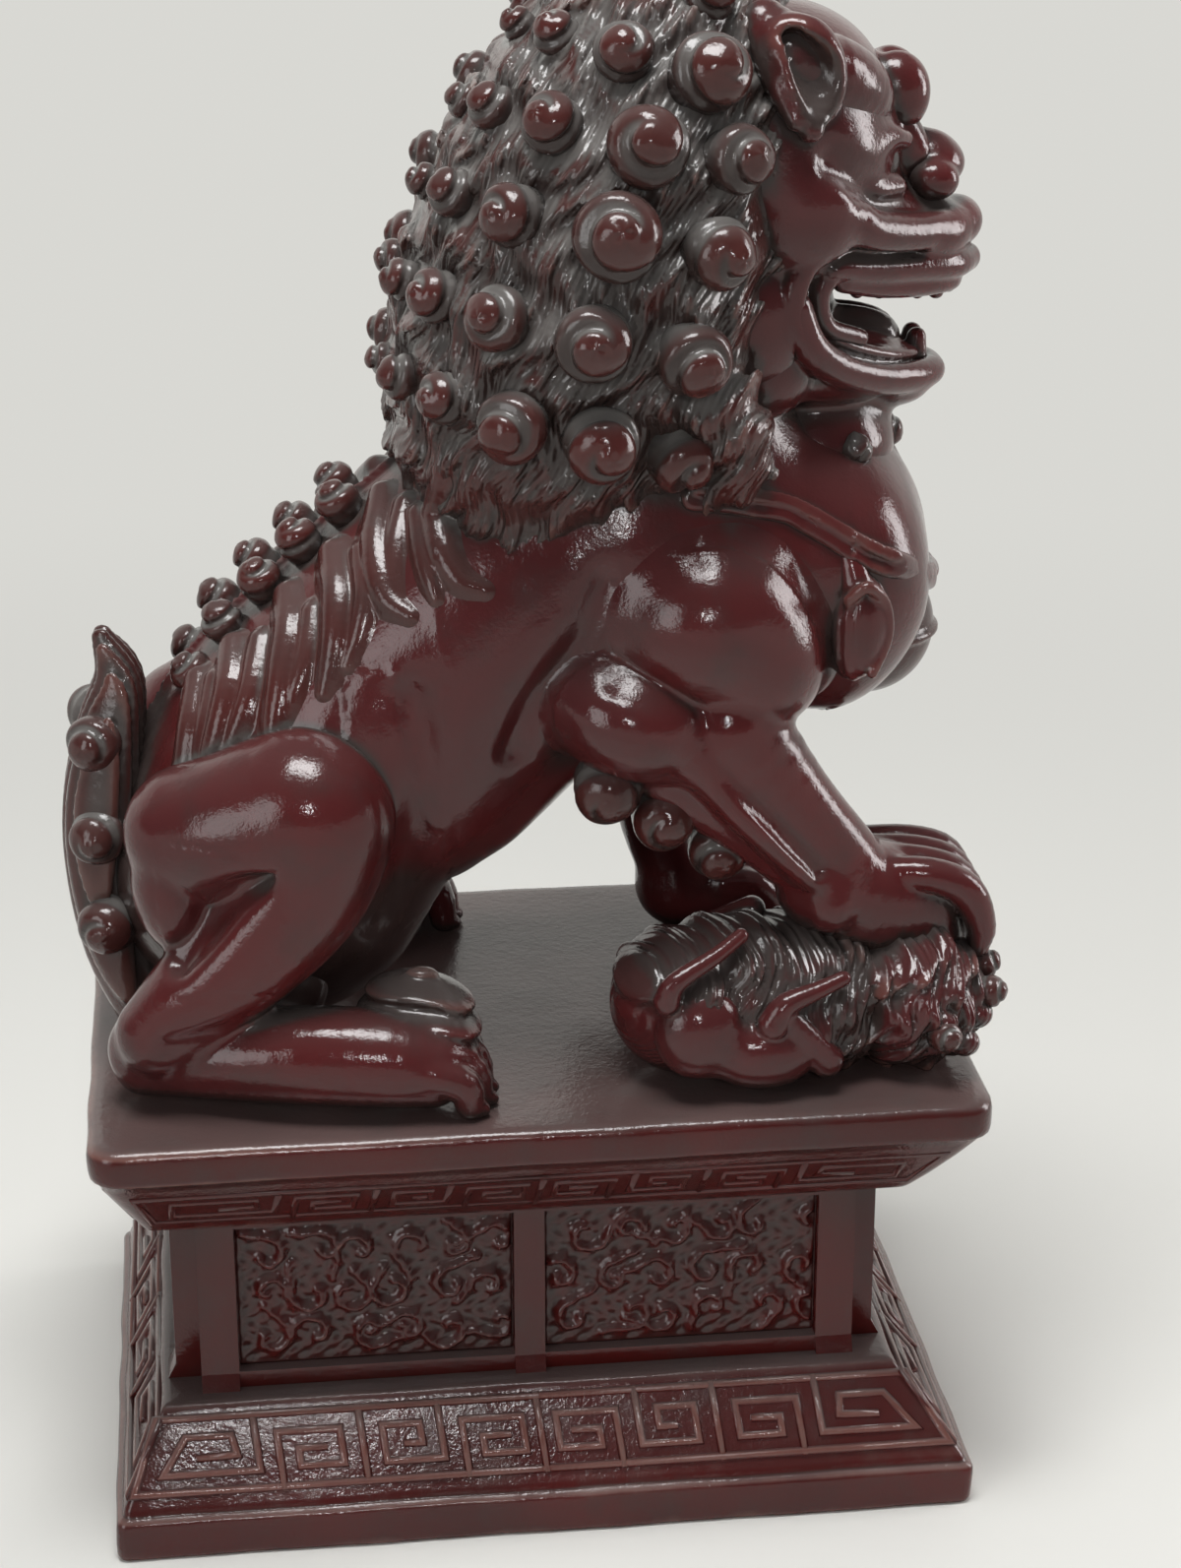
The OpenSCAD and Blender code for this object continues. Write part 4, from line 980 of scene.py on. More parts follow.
def lacquer(name, colour, ruddy, streak=0.0, dust=0.3, settle=0.1, wear=0.5, gloss=0.2):
    """Lacquered cast resin: painted shade in hollows, dusty on top and rubbed on edges, with streaks of hair.
    """
    tints = bpy.context.scene.lion_colours
    material = bpy.data.materials.new(name)
    material.use_nodes = True
    tree = material.node_tree
    tree.nodes.clear()
    place = add_node(tree, "ShaderNodeTexCoord").outputs["Object"]

    def noise(scale, detail=3.0):
        inputs = {"Vector": place, "Scale": scale, "Detail": detail, "Roughness": 0.55}
        return add_node(tree, "ShaderNodeTexNoise", inputs).outputs[0]

    def mark(title):
        return add_node(tree, "ShaderNodeAttribute", attribute_name=title).outputs["Fac"]

    def ramp(value, low, high, to_low=0.0, to_high=1.0):
        return ramp_node(tree, value, low, high, to_low, to_high)

    def times(a, b):
        return math_node(tree, "MULTIPLY", a, b)

    def plus(a, b, clamp=False):
        return math_node(tree, "ADD", a, b, clamp=clamp)

    cloud, patch, grain, grit = noise(22), noise(130, 4), noise(900), noise(2600, 2)
    hollow, edge = mark("hollow"), mark("edge")
    normal = add_node(tree, "ShaderNodeNewGeometry").outputs["Normal"]
    up = add_node(tree, "ShaderNodeSeparateXYZ", {0: normal}).outputs["Z"]

    body = tint_node(tree, ramp(cloud, 0.35, 0.65), rgba(colour), rgba(ruddy))
    body = tint_node(tree, ramp(patch, 0.45, 0.75, 0, 0.35), body, rgba(tints.deep_and_shade))
    # Painted shade: hollows and creases are darkened towards near black
    body = tint_node(tree, ramp(hollow, 0.18, 0.72, 0, 0.92), body, rgba(tints.deep_and_shade))
    rubbed = plus(edge, math_node(tree, "MULTIPLY_ADD", patch, 0.7, -0.35))
    body = tint_node(tree, ramp(rubbed, 0.22, 0.8, 0, wear), body, rgba(tints.worn))
    on_top = times(ramp(up, 0.35, 1.0, 0, dust), ramp(cloud, 0.3, 0.7, 0.6, 1))
    settled = times(ramp(hollow, 0.25, 0.8, 0, settle), ramp(up, -0.2, 0.6))
    dusty = plus(on_top, settled, True)
    body = tint_node(tree, dusty, body, rgba(tints.dust))

    rough = plus(ramp(patch, 0.3, 0.75, gloss, gloss + 0.1), times(dusty, 0.08))
    rough = plus(rough, times(hollow, 0.03), True)

    height = plus(plus(times(grain, 0.45), times(grit, 0.2)), times(patch, 0.6))
    if streak:
        across, along = mark("across"), mark("along")
        haired = math_node(tree, "MULTIPLY", math_node(tree, "ABSOLUTE", across), 1000.0, clamp=True)
        line = plus(times(across, STRAND_PITCH), times(times(patch, haired), STRAND_WAVER))
        strand = math_node(tree, "FLOOR", math_node(tree, "DIVIDE", line, math.tau))
        own = add_node(tree, "ShaderNodeTexWhiteNoise", {"W": strand}, noise_dimensions="1D")
        start = times(own.outputs["Value"], TURN)
        stroke = math_node(tree, "SINE", plus(times(along, STROKE_BEAT), start))
        ridge = times(math_node(tree, "COSINE", line), ramp(stroke, -1, 1, 0.2, 1.0))
        height = math_node(tree, "SUBTRACT", height, times(ridge, streak))
    bump = add_node(tree, "ShaderNodeBump", {
        "Strength": BUMP_STRENGTH, "Distance": BUMP_DEPTH, "Height": height})
    shader = add_node(tree, "ShaderNodeBsdfPrincipled", {
        "Base Color": body, "Roughness": rough, "Normal": bump.outputs[0], "IOR": RESIN_IOR})
    add_node(tree, "ShaderNodeOutputMaterial", {"Surface": shader.outputs[0]})
    return material


FINISHES = {}


def finish_for(slot):
    """Finish of a slot of the record, made once."""
    if slot not in FINISHES:
        tints = bpy.context.scene.lion_colours
        kinds = {
            "plinth_resin": dict(colour=tints.plinth, ruddy=tints.plinth_ruddy, dust=0.4, wear=0.75,
                                 gloss=0.11),
            "figure_resin": dict(colour=tints.figure, ruddy=tints.figure_ruddy, streak=1.3, dust=0.1,
                                 wear=0.35, gloss=0.09),
            "hair_resin": dict(colour=tints.hair, ruddy=tints.hair_ruddy, streak=2.2, dust=0.25, settle=0.4,
                               wear=0.35, gloss=0.09),
            "dark_resin": dict(colour=tints.deep_and_shade, ruddy=tints.hair, dust=0.15, wear=0.4, gloss=0.16),
        }
        FINISHES[slot] = lacquer(slot, **kinds[slot])
    return FINISHES[slot]


SLOTS = {row["node"]: row["material_slot"] for row in frame["record"]["subparts"]}


def add_piece(node, points, faces, marks, lift=True):
    """Mesh for a node, with its marks, its finish and its place in the frame."""
    mesh = bpy.data.meshes.new(node + "_carved")
    at = (np.asarray(points) + (0, 0, SLAB_TOP if lift else 0)) * MM
    mesh.from_pydata(at.tolist(), [], [list(map(int, f)) for f in faces])
    for title in ("hollow", "edge", "across", "along"):
        values = np.asarray(marks.get(title, np.zeros(len(at))), np.float32)
        mesh.attributes.new(title, "FLOAT", "POINT").data.foreach_set("value", values)
    mesh.shade_smooth()
    piece = bpy.data.objects.new(node + "_carved", mesh)
    bpy.context.scene.collection.objects.link(piece)
    mesh.materials.append(finish_for(SLOTS[node]))
    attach(piece, "root")
    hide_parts(node)
    return piece


def carve(*names):
    """Carves the named forms side by side, then sets them up as pieces."""
    find_curls()
    lock_runs()
    strap_line()
    with ThreadPoolExecutor(4) as crew:
        for name, made in zip(names, crew.map(shape, names)):
            add_piece(name, *made)


# Plinth

# Steps round a corner and along the long and short sides of a ring, and how far a casting wavers
CORNER_STEPS, LONG_STEPS, SHORT_STEPS = 5, 36, 24
WAVER = 0.12
CORNERS = ((1, 1), (-1, 1), (-1, -1), (1, -1))


def ring(l, w, r, inset, z):
    """Closed outline of a rounded rectangle, with the slight waver of a casting."""
    a, b = l / 2 - inset, w / 2 - inset
    r = max(r - inset * 0.3, 0.6)

    def on_corner(corner, t):
        x, y = corner
        return np.array((x * (a - r) + r * math.cos(t), y * (b - r) + r * math.sin(t)))

    points = []
    for k, corner in enumerate(CORNERS):
        points += [on_corner(corner, math.pi / 2 * (k + i / CORNER_STEPS)) for i in range(CORNER_STEPS + 1)]
        start, end = points[-1], on_corner(CORNERS[(k + 1) % 4], math.pi / 2 * (k + 1))
        count = SHORT_STEPS if k % 2 else LONG_STEPS
        points += [start + (end - start) * i / count for i in range(1, count)]
    p = np.array(points)
    out = p / np.maximum(length(p)[:, None], 1e-6)
    wave = (np.sin(p[:, 0] * 0.19 + z * 0.3) + 0.7 * np.sin(p[:, 1] * 0.27 + 2 + z * 0.2)
            + 0.5 * np.sin(p[:, 0] * 0.53 + p[:, 1] * 0.4 + z * 0.7))
    p = p + out * (wave * WAVER)[:, None]
    return np.column_stack([p, np.full(len(p), z)])


def turned_block(profile, l, w, r):
    """Closed block of rings from the bottom up."""
    rings = [ring(l, w, r, inset, z) for inset, z in profile]
    n = len(rings[0])
    faces = [(a, d, c, b) for a, b, c, d in ring_quads(len(rings), n)]
    faces.append(tuple(range(n))[::-1])
    faces.append(tuple((len(rings) - 1) * n + j for j in range(n)))
    return np.vstack(rings), faces


def block_marks(points, shade_bands, edges):
    """Painted shade in creases and rubbed edges of a turned block, in bands of a height, a width and a
    strength.
    """
    z = points[:, 2]

    def level(bands):
        return np.clip(sum(swell(z - at, wide) * much for at, wide, much in bands), 0, 1)
    return level(shade_bands), level(edges)


# Section of a raised line, by shares of its width and of its rise
LINE_SECTION = [(-0.5, -0.5), (-0.46, 0.35), (-0.22, 0.95), (0.22, 0.95), (0.46, 0.35), (0.5, -0.5)]


def raised_line(points, lie, width, rise, chance):
    """Closed ridge along a line in a field, mitred at its corners; lie gives a place in space."""
    p = np.array(points, float)
    d = np.diff(p, axis=0)
    d /= length(d)[:, None]
    n = np.column_stack([-d[:, 1], d[:, 0]])
    stretch = np.maximum(1 + np.einsum("ij,ij->i", n[:-1], n[1:]), 0.35)
    mitre = np.vstack([n[:1], (n[:-1] + n[1:]) / stretch[:, None], n[-1:]])
    p[0] -= d[0] * width * 0.4
    p[-1] += d[-1] * width * 0.4
    verts = []
    for q, m in zip(p, mitre):
        lift = rise * chance.uniform(0.75, 1.15)
        verts += [lie(q + m * width * s, h * lift) for s, h in LINE_SECTION]
    m = len(LINE_SECTION)
    faces = ring_quads(len(p), m)
    faces.append(tuple(range(m)))
    faces.append(tuple((len(p) - 1) * m + j for j in range(m))[::-1])
    return verts, faces


# Keys of the fret by shares of their width and of the field's height
FRET_UP = [(0, 0), (0, 0.74), (1, 0.74), (1, 0.26), (0.31, 0.26), (0.31, 0.5), (0.72, 0.5)]
FRET_DOWN = [(1, 1), (1, 0.24), (0, 0.24), (0, 0.74), (0.65, 0.74), (0.65, 0.47), (0.4, 0.47)]
# Half a field from its middle outwards: its half length, its keys, the line that parts them and the leg of
# its end key
LONG_FRET = (60.3, [(-11.4, -2.5, FRET_UP), (-23.1, -14.6, FRET_DOWN), (-38.5, -29.3, FRET_UP)], [-26.2],
             -41.6)
SHORT_FRET = (40.8, [(-15, -3, FRET_UP)], [], -18.6)


def fret_lines(layout, half, lean):
    """Key-fret lines of a field, in millimetres across it and from 0 at its bottom to 1 at its top."""
    base, keys, parts, leg = layout
    k = half / base

    def end(y, inset):
        return lean * y - half + inset * k

    left = [[(x * k, 0), (x * k, 1)] for x in parts]
    left += [[((low + (high - low) * x) * k, y) for x, y in kind] for low, high, kind in keys]
    leg *= k
    left.append([(leg, 1), (leg, 0.24), (end(0.24, 3.5), 0.24), (end(0.74, 5.1), 0.74),
                 (leg - 3.5 * k, 0.74), (leg - 3 * k, 0.47), (leg - 8.4 * k, 0.45)])
    left.append([(0, 1), (end(1, 0), 1), (end(0, 0), 0), (0, 0)])
    return [[(0, 0), (0, 1)]] + left + [[(-x, y) for x, y in line] for line in left]


def slope_lie(side, l, w, low, high):
    """Places a point of a sloped field, from its bottom edge to its top edge, on a side of the plinth."""
    (in0, z0), (in1, z1) = low, high
    lean = math.atan2(in1 - in0, z1 - z0)

    def lie(q, rise):
        inset = in0 + (in1 - in0) * q[1]
        x, y = q[0], inset - (l if side % 2 else w) / 2 - rise * math.cos(lean)
        for _ in range(side):
            x, y = -y, x
        return (x, y, z0 + (z1 - z0) * q[1] + rise * math.sin(lean))
    return lie


def with_fret(points, faces, l, w, low, high, margin, lean, width, rise):
    """Adds the key-fret lines of the four sloped sides, between two levels of inset and height."""
    chance = np.random.default_rng(SEED)
    points = [tuple(p) for p in points]
    faces = list(faces)
    slope = math.hypot(high[0] - low[0], high[1] - low[1])
    for side in range(4):
        place = slope_lie(side, l, w, low, high)

        def lie(q, lift):
            return place((q[0], q[1] / slope), lift)

        half = (w if side % 2 else l) / 2 - low[0] - margin
        for line in fret_lines(SHORT_FRET if side % 2 else LONG_FRET, half, lean):
            v, f = raised_line([(x, y * slope) for x, y in line], lie, width, rise, chance)
            faces += shifted(f, len(points))
            points += v
    return np.array(points), faces


# Panels: how wide a leaf's place is, how far a leaf curls, and the depth of the ground behind the leaves
LEAF_PITCH = 6.2
LEAF_CURL = np.linspace(0, 4.6, 8)
GROUND_DEPTH = 1.2
PLATE_SINK = 0.3


def panel(l, h, t, place, chance):
    """Panel carved with curled leaves, on a closed plate; place gives a point of it in space."""
    step = 0.36
    nx, nz = max(8, int(l / step)), max(8, int(h / step))
    x, z = np.meshgrid(np.linspace(-l / 2, l / 2, nx), np.linspace(-h / 2, h / 2, nz), indexing="ij")
    x, z = x.ravel(), z.ravel()
    flat = np.column_stack([x, np.zeros(x.size), z])
    up = np.zeros(x.size)

    def raise_line(knots, wide, high):
        d = gap(flat, [(a, 0, b) for a, b in knots], 5)
        np.maximum(up, high * swell(d, wide), out=up)

    # Curled leaves in three uneven rows, each with its stem
    columns = max(3, round(l / LEAF_PITCH))
    for i in range(columns):
        for j in (-1, 0, 1):
            x0 = (i + 0.5 + 0.25 * (j % 2) + chance.uniform(-0.2, 0.2)) * l / columns - l / 2
            z0 = j * h * 0.3 + chance.uniform(-0.6, 0.6)
            size, turn = h * chance.uniform(0.11, 0.16), chance.uniform(0, TURN)
            hand = chance.choice((-1, 1))

            def leaf_at(angle, across, along):
                return x0 + across * math.cos(angle), z0 + along * math.sin(angle)

            curl = [(turn + hand * a, size * (1 - 0.16 * a)) for a in LEAF_CURL]
            raise_line([leaf_at(angle, r, r) for angle, r in curl], 0.62, chance.uniform(1.0, 1.35))
            tip = leaf_at(turn - hand * 0.5, 2 * size, 1.6 * size)
            raise_line([leaf_at(turn, size, size), tip], 0.6, 0.9)
    up = up + np.sin(x * 1.7 + np.sin(z)) * np.sin(z * 2.1 + 1) * 0.25
    rim = np.minimum(l / 2 - np.abs(x), h / 2 - np.abs(z))
    up = up * np.clip(rim / 0.8, 0, 1)
    points = [place(a, b, t - GROUND_DEPTH + u) for a, b, u in zip(x, z, up)]
    points += [place(x[i], z[i], -PLATE_SINK) for i in (0, nz - 1, nx * nz - 1, (nx - 1) * nz)]
    faces = [(i * nz + j, (i + 1) * nz + j, (i + 1) * nz + j + 1, i * nz + j + 1)
             for i in range(nx - 1) for j in range(nz - 1)]
    b = nx * nz
    left = range(nz)
    right = range(b - 1, b - nz - 1, -1)
    low = range(b - nz, -1, -nz)
    high = range(nz - 1, b, nz)
    faces += [(*left, b + 1, b), (*right, b + 3, b + 2), (*low, b, b + 3), (*high, b + 2, b + 1),
              (b, b + 1, b + 2, b + 3)]
    # Painted shade on the low ground between the leaves, and full painted shade on the plate's sides
    hollow = np.append(np.clip(0.45 - up * 0.5, 0, 1), np.ones(4))
    edge = np.append(np.clip(up - 0.95, 0, 0.6), np.zeros(4))
    return points, faces, hollow, edge


def size_of(name, description, default, low, high):
    return bpy.props.FloatProperty(name=name, description=description, default=default, min=low, max=high,
                                   unit="LENGTH")


def colour_of(name, description, default):
    return bpy.props.FloatVectorProperty(name=name, description=description, default=default, size=3,
                                         subtype="COLOR")


class LionSizes(bpy.types.PropertyGroup):
    """Sizes of the carving that a maker would change"""
    fret_width: size_of("Fret width", "Width of the raised key-fret lines", 0.0013, 0.0004, 0.003)
    fret_rise: size_of("Fret rise", "Height of the key-fret lines on the foot", 0.0006, 0.0001, 0.002)
    cap_fret_rise: size_of("Cap fret rise", "Height of the worn fret under the slab", 0.00025, 0.0001, 0.002)
    edge_round: size_of("Edge round", "Rounding of the waist's edges", 0.0005, 0.0001, 0.0015)


class LionColours(bpy.types.PropertyGroup):
    """Colours of the lacquered resin and of the stage"""
    figure: colour_of("Figure", "Maroon of the smooth muscles", (0.064, 0.0138, 0.0142))
    figure_ruddy: colour_of("Figure, ruddy", "Redder patches of the muscles", (0.081, 0.0115, 0.0118))
    hair: colour_of("Hair", "Brown maroon of mane, curls and tail", (0.054, 0.019, 0.017))
    hair_ruddy: colour_of("Hair, ruddy", "Redder patches of the hair", (0.068, 0.015, 0.013))
    plinth: colour_of("Plinth", "Dark maroon of the plinth", (0.05, 0.008, 0.007))
    plinth_ruddy: colour_of("Plinth, ruddy", "Redder patches of the plinth", (0.072, 0.008, 0.007))
    # Near black of the painted shade in hollows and creases, which also darkens random patches and colours
    # the dark resin
    deep_and_shade: colour_of("Hollows", "Near black of the hollows", (0.03, 0.02, 0.018))
    worn: colour_of("Worn edges", "Tan of the rubbed edges", (0.19, 0.085, 0.07))
    dust: colour_of("Dust", "Grey film on upward faces", (0.2, 0.195, 0.185))
    floor: colour_of("Floor", "Pale floor and backdrop", (0.72, 0.715, 0.68))


def waist_middle():
    """The waist stands a little behind the middle, and the slopes above and below it lead there."""
    low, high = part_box("plinth_waist")
    return (low.x + high.x) / 2 / MM


def add_fretted(node, points, faces, hollow, edge, line_shade, line_edge):
    """Sets up a block of the plinth, with the marks of its fret lines after its own."""
    # The fret lines take an even painted shade of their own and a rubbed edge across each
    extra = len(points) - len(hollow)
    marks = {"hollow": np.append(hollow, np.full(extra, line_shade)),
             "edge": np.append(edge, np.tile(line_edge, extra // len(line_edge)))}
    add_piece(node, points, faces, marks, lift=False)


def build_foot():
    sizes = bpy.context.scene.lion_sizes
    low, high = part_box("plinth_foot")
    l, w, h = (high - low) / MM
    band = 6.5
    profile = [(0.9, 0), (0.3, 0.25), (0.05, 0.9), (0, 2.5), (0, 4.6), (0.05, 5.7), (0.35, 6.25),
               (0.85, band), (1.05, 6.7), (1.15, 7.1), (1.5, 7.9), (8.6, h - 1.1), (8.95, h - 0.4),
               (9.5, h - 0.05), (10.2, h), (13, h)]
    points, faces = turned_block(profile, l, w, 1.6)
    # Painted shade in the crease over the band and where the foot meets the waist
    crease_shade = [(6.8, 0.3, 0.6), (h, 0.3, 0.35)]
    rubbed = [(6.2, 0.5, 0.6), (7.6, 0.4, 0.5), (0.4, 0.7, 0.5), (h - 0.5, 0.5, 0.4)]
    hollow, edge = block_marks(points, crease_shade, rubbed)
    points, faces = with_fret(points, faces, l, w, low=(2.5, 9.5), high=(8.2, 18.2), margin=0.6, lean=4.6,
                              width=sizes.fret_width / MM, rise=sizes.fret_rise / MM)
    points[:, 0] += waist_middle() * np.clip((points[:, 2] - band) / (h - band), 0, 1)
    add_fretted("plinth_foot", points, faces, hollow, edge, 0.0, (0, 0.1, 0.7, 0.7, 0.1, 0))


def build_cap():
    sizes = bpy.context.scene.lion_sizes
    low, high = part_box("plinth_cap")
    l, w = ((high - low) / MM)[:2]
    z0, z1 = low.z / MM, high.z / MM
    # Where the sloped underside meets the slab
    s = z1 - 5.3
    profile = [(13, z0), (9.2, z0 + 0.03), (8.5, z0 + 0.3), (8.0, z0 + 0.9), (6.2, z0 + 3.4),
               (3.1, z0 + 7.6), (1.5, s - 1.4), (1.0, s - 0.4), (0.5, s - 0.05), (0.15, s + 0.35),
               (0.02, s + 1.1), (0, s + 2.4), (0.05, z1 - 1.6), (0.25, z1 - 0.8), (0.7, z1 - 0.28),
               (1.4, z1 - 0.05), (2.4, z1), (5, z1)]
    points, faces = turned_block(profile, l, w, 4.5)
    # Painted shade in the crease where the underside meets the slab, and fainter over the underside
    crease_shade = [(s - 0.7, 0.7, 0.6), (z0 + 3, 3, 0.25)]
    rubbed = [(z1 - 0.6, 0.5, 0.75), (s + 0.3, 0.6, 0.4), (z0 + 0.5, 0.5, 0.5)]
    hollow, edge = block_marks(points, crease_shade, rubbed)
    # The cap is rubbed more towards the tail
    edge = edge * (0.55 + 0.45 * np.clip(-points[:, 0] / 40, -1, 1))
    points, faces = with_fret(points, faces, l, w, low=(6.9, z0 + 2.3), high=(2.5, z0 + 8.4), margin=3,
                              lean=-3.2, width=sizes.fret_width / MM * 0.8, rise=sizes.cap_fret_rise / MM)
    points[:, 0] += waist_middle() * np.clip((s - points[:, 2]) / (s - z0), 0, 1)
    add_fretted("plinth_cap", points, faces, hollow, edge, 0.1, (0, 0, 0.25, 0.25, 0, 0))


def build_waist():
    sizes = bpy.context.scene.lion_sizes
    bm = bmesh.new()
    bm.from_mesh(frame["nodes"]["plinth_waist"].data)
    bmesh.ops.remove_doubles(bm, verts=bm.verts, dist=1e-6)
    bmesh.ops.dissolve_limit(bm, angle_limit=0.02, verts=bm.verts, edges=bm.edges)
    sharp = [e for e in bm.edges if e.calc_face_angle(0) > 0.3]
    bmesh.ops.bevel(bm, geom=sharp, offset=sizes.edge_round, segments=2, profile=0.6, affect="EDGES",
                    clamp_overlap=True)
    points = np.array([v.co for v in bm.verts]) / MM
    faces = [[v.index for v in f.verts] for f in bm.faces]
    bm.free()
    # Painted shade, darker towards the top of the waist, under the cap
    top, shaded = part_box("plinth_waist")[1].z / MM, 8
    hollow = np.clip((points[:, 2] - top + shaded) / shaded, 0, 1) * 0.5
    piece = add_piece("plinth_waist", points, faces, {"hollow": hollow}, lift=False)
    piece.data.set_sharp_from_angle(angle=0.6)


def build_panels():
    chance = np.random.default_rng(SEED)
    points, faces, hollow, edge = [], [], [], []
    for solid in islands("waist_panels"):
        solid = solid + (0, 0, SLAB_TOP)
        low, high = solid.min(0), solid.max(0)
        mid, size = (low + high) / 2, high - low
        # A panel of an end faces along X, one of a side along Y
        out, along = (0, 1) if size[0] < size[1] else (1, 0)
        way = np.sign(mid[out])
        back = low[out] if way > 0 else high[out]

        def place(u, v, rise):
            if out == 0:
                return (back + way * rise, mid[1] + u * way, mid[2] + v)
            return (mid[0] - u * way, back + way * rise, mid[2] + v)

        p, f, h, e = panel(size[along], size[2], size[out], place, chance)
        faces += shifted(f, len(points))
        points += p
        hollow.append(h)
        edge.append(e)
    marks = {"hollow": np.concatenate(hollow), "edge": np.concatenate(edge)}
    add_piece("waist_panels", np.array(points), faces, marks, lift=False)


class LION_OT_plinth(bpy.types.Operator):
    """Foot, waist, panels and cap of the plinth"""
    bl_idname = "lion.plinth"
    bl_label = "Plinth"

    def execute(self, context):
        build_foot()
        build_waist()
        build_panels()
        build_cap()
        return {"FINISHED"}


class LION_OT_body(bpy.types.Operator):
    """Torso, flank locks and tail"""
    bl_idname = "lion.body"
    bl_label = "Body"

    def execute(self, context):
        carve("torso", "back_locks", "tail")
        return {"FINISHED"}


class LION_OT_legs(bpy.types.Operator):
    """Forelegs and hind legs"""
    bl_idname = "lion.legs"
    bl_label = "Legs"

    def execute(self, context):
        carve("right_foreleg", "left_foreleg", "right_hind_leg", "left_hind_leg")
        return {"FINISHED"}


class LION_OT_head(bpy.types.Operator):
    """Head with its jaw, tongue, teeth, nose, brows, eyes and ears"""
    bl_idname = "lion.head"
    bl_label = "Head"

    def execute(self, context):
        carve("head", "lower_jaw", "tongue", "upper_teeth", "lower_teeth", "nose", "brows", "eyes", "ears")
        return {"FINISHED"}


class LION_OT_mane(bpy.types.Operator):
    """Mane and every turned curl"""
    bl_idname = "lion.mane"
    bl_label = "Mane and curls"

    def execute(self, context):
        carve("mane")
        for node in CURLS:
            add_piece(node, *curl_group(node))
        return {"FINISHED"}


class LION_OT_harness(bpy.types.Operator):
    """Collar, bell and tassels"""
    bl_idname = "lion.harness"
    bl_label = "Harness"

    def execute(self, context):
        carve("collar", "bell", "tassels")
        return {"FINISHED"}


class LION_OT_cub(bpy.types.Operator):
    """Cub under the right forepaw"""
    bl_idname = "lion.cub"
    bl_label = "Cub"

    def execute(self, context):
        carve("cub_body", "cub_head", "cub_legs")
        return {"FINISHED"}


# Lamps: where each stands and aims, its size and power, all in metres and watts, and its tint
LAMPS = {
    "overhead": ((-0.05, -0.12, 0.85), (0, 0, 0.1), (0.4, 0.26), 5.8, (1, 1, 1)),
    "window": ((0.85, 0.08, 0.33), (0.02, 0, 0.13), (0.24, 0.5), 3.4, (1, 0.97, 0.97)),
    "fill": ((-0.7, -0.6, 0.4), (0, 0, 0.12), (0.4, 0.5), 2.2, (1, 1, 1)),
    "front": ((-0.03, -0.74, 0.43), (0, 0, 0.13), (0.06, 0.06), 0.8, (1, 1, 1)),
}
FLOOR_REACH = 20.0
# Distance from the lion over which the floor turns from lit to its own pale colour
FLOOR_FADE = (0.1, 0.5)
FLOOR_GLOW = 0.96
DIM_ROOM = (0.11, 0.116, 0.12)
BRIGHT_ROOM = 1.33


def facing(at, to):
    """Turn of a lamp or camera that stands at one place and looks at another."""
    return (Vector(to) - Vector(at)).to_track_quat("-Z", "Y").to_euler()


def soft_light(name, at, to, size, power, tint):
    lamp = bpy.data.lights.new(name, "AREA")
    lamp.shape = "RECTANGLE"
    lamp.size, lamp.size_y = size
    lamp.energy = power
    lamp.color = tint
    item = bpy.data.objects.new(name, lamp)
    item.location = at
    item.rotation_euler = facing(at, to)
    bpy.context.scene.collection.objects.link(item)


def pale_floor(tone):
    """Finish of the floor; far from the lion it keeps its pale colour, beyond the reach of the lamps."""
    material = bpy.data.materials.new("pale_floor")
    material.use_nodes = True
    tree = material.node_tree
    shader = tree.nodes["Principled BSDF"]
    mottle = add_node(tree, "ShaderNodeTexNoise", {"Scale": 9.0, "Detail": 4.0}).outputs[0]
    tint = tint_node(tree, ramp_node(tree, mottle, 0.3, 0.7), rgba(tone), rgba(tone, 0.95))
    tree.links.new(tint, shader.inputs["Base Color"])
    shader.inputs["Roughness"].default_value = 0.7
    place = add_node(tree, "ShaderNodeTexCoord").outputs["Object"]
    away = add_node(tree, "ShaderNodeVectorMath", {0: place}, operation="LENGTH").outputs["Value"]
    rays = add_node(tree, "ShaderNodeLightPath").outputs
    seen = math_node(tree, "ADD", rays["Is Glossy Ray"], rays["Is Transmission Ray"])
    seen = math_node(tree, "ADD", rays["Is Camera Ray"], seen, clamp=True)
    share = math_node(tree, "MULTIPLY", ramp_node(tree, away, *FLOOR_FADE), seen)
    glow = add_node(tree, "ShaderNodeEmission", {"Color": rgba(tone, FLOOR_GLOW)})
    mix = add_node(tree, "ShaderNodeMixShader", {0: share, 1: shader.outputs[0], 2: glow.outputs[0]})
    tree.links.new(mix.outputs[0], tree.nodes["Material Output"].inputs["Surface"])
    return material


def soft_room(tone):
    """A pale room behind the lion and low all round, and a dim one before it."""
    world = bpy.data.worlds.new("soft_room")
    world.use_nodes = True
    tree = world.node_tree
    place = add_node(tree, "ShaderNodeTexCoord").outputs["Generated"]
    way = add_node(tree, "ShaderNodeSeparateXYZ", {0: place}).outputs
    behind = math_node(tree, "MULTIPLY", ramp_node(tree, way["Y"], 0.1, 0.6),
                       ramp_node(tree, way["Z"], 0.75, 0.4))
    low = ramp_node(tree, way["Z"], 0.12, 0.02)
    tint = tint_node(tree, behind, rgba(DIM_ROOM), rgba(tone, BRIGHT_ROOM))
    tint = tint_node(tree, low, tint, rgba(tone))
    tree.links.new(tint, tree.nodes["Background"].inputs[0])
    return world


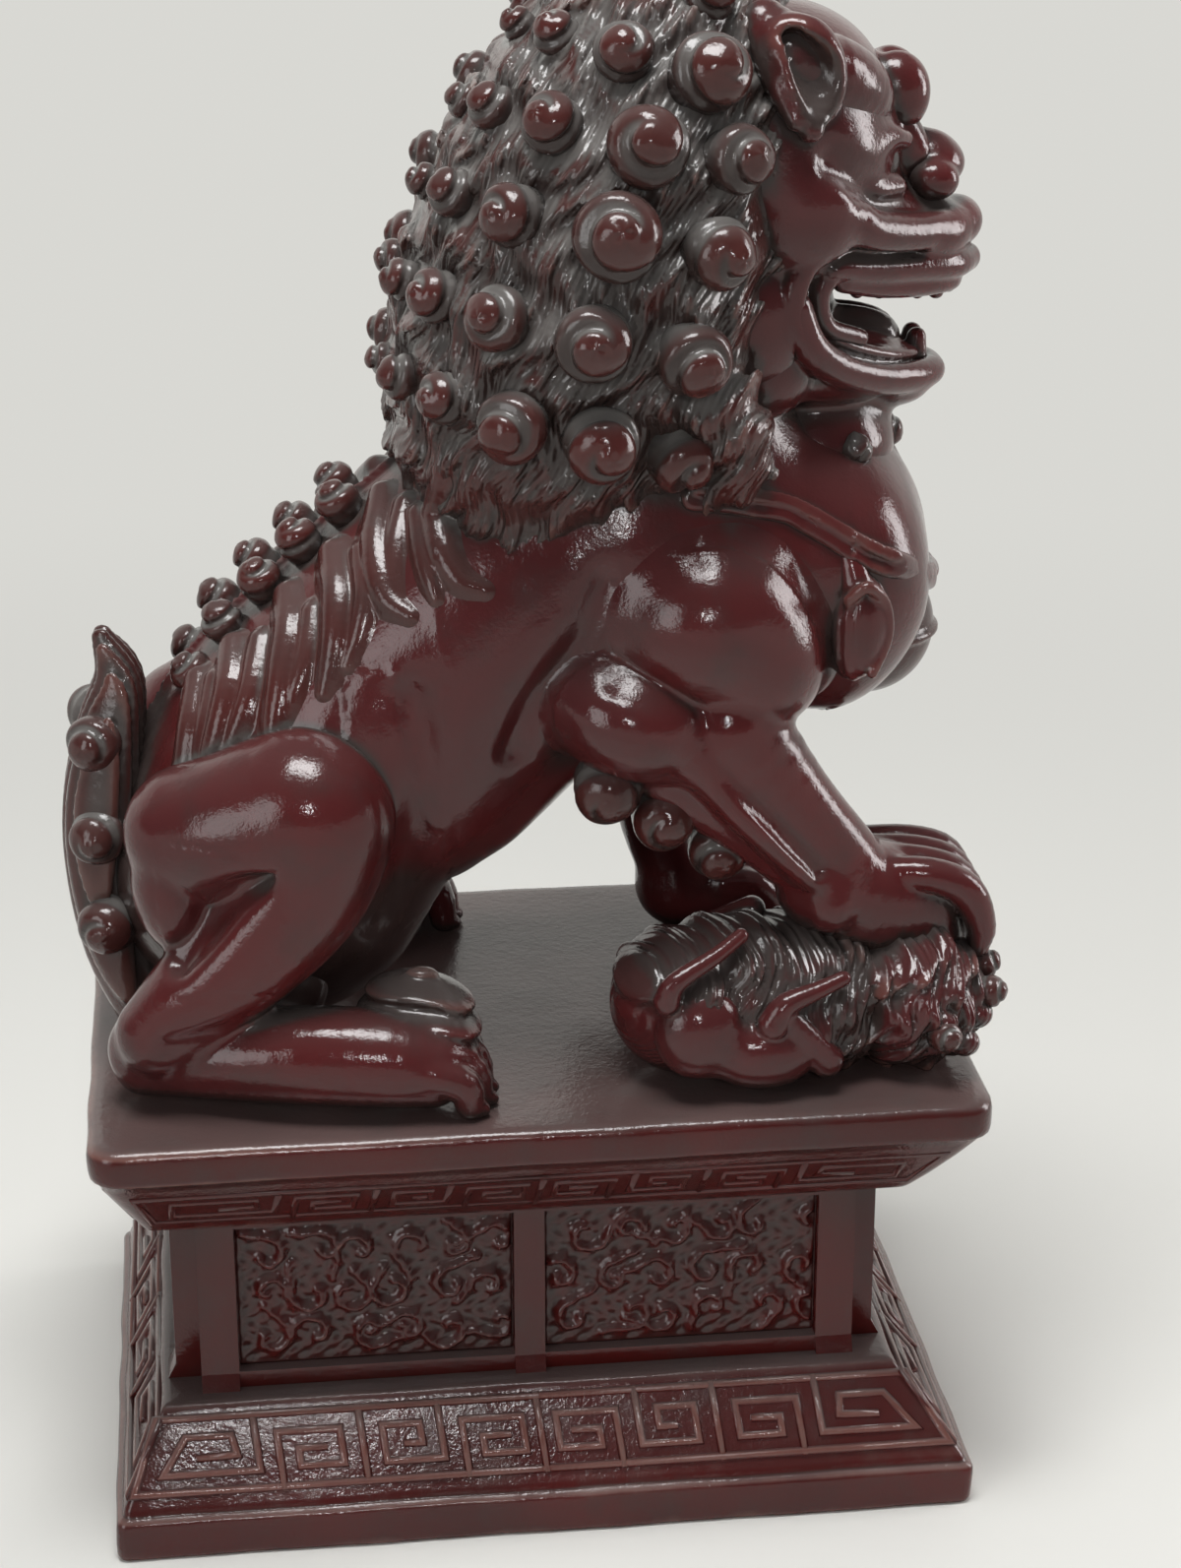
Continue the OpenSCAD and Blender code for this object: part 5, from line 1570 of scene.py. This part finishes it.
class LION_OT_stage(bpy.types.Operator):
    """Pale floor and backdrop, soft light and the camera"""
    bl_idname = "lion.stage"
    bl_label = "Stage"

    def execute(self, context):
        scene = context.scene
        scene.view_settings.view_transform = "Standard"
        tone = scene.lion_colours.floor
        mesh = bpy.data.meshes.new("floor")
        r = FLOOR_REACH
        mesh.from_pydata([(-r, -r, 0), (r, -r, 0), (r, r, 0), (-r, r, 0)], [], [(0, 1, 2, 3)])
        mesh.materials.append(pale_floor(tone))
        floor = bpy.data.objects.new("floor", mesh)
        scene.collection.objects.link(floor)

        scene.world = soft_room(tone)
        for name, values in LAMPS.items():
            soft_light(name, *values)

        lens = bpy.data.cameras.new("camera")
        lens.sensor_fit = "VERTICAL"
        lens.sensor_height = SENSOR_HEIGHT
        lens.lens = FOCUS * SENSOR_HEIGHT / PICTURE[1]
        lens.clip_start = 0.01
        camera = bpy.data.objects.new("camera", lens)
        camera.location = EYE * MM
        camera.rotation_euler = facing(EYE * MM, AIM * MM)
        scene.collection.objects.link(camera)
        scene.camera = camera
        return {"FINISHED"}


class LION_PT_panel(bpy.types.Panel):
    """Lists the steps that build the lion"""
    bl_idname = "LION_PT_panel"
    bl_label = "Guardian lion"
    bl_space_type = "VIEW_3D"
    bl_region_type = "UI"
    bl_category = "Lion"

    def draw(self, context):
        for kind in STEPS:
            self.layout.operator(kind.bl_idname)
        for group in (context.scene.lion_sizes, context.scene.lion_colours):
            for key in group.bl_rna.properties.keys():
                if key not in ("rna_type", "name"):
                    self.layout.prop(group, key)


STEPS = (LION_OT_plinth, LION_OT_body, LION_OT_legs, LION_OT_head, LION_OT_mane, LION_OT_harness,
         LION_OT_cub, LION_OT_stage)
CLASSES = (LionSizes, LionColours, *STEPS, LION_PT_panel)


def register():
    for kind in CLASSES:
        bpy.utils.register_class(kind)
    bpy.types.Scene.lion_sizes = bpy.props.PointerProperty(type=LionSizes)
    bpy.types.Scene.lion_colours = bpy.props.PointerProperty(type=LionColours)


def unregister():
    del bpy.types.Scene.lion_colours
    del bpy.types.Scene.lion_sizes
    for kind in reversed(CLASSES):
        bpy.utils.unregister_class(kind)


def main():
    register()
    lion = bpy.ops.lion
    for step in (lion.plinth, lion.body, lion.legs, lion.head, lion.mane, lion.harness, lion.cub, lion.stage):
        step()


if __name__ == "__main__":
    main()
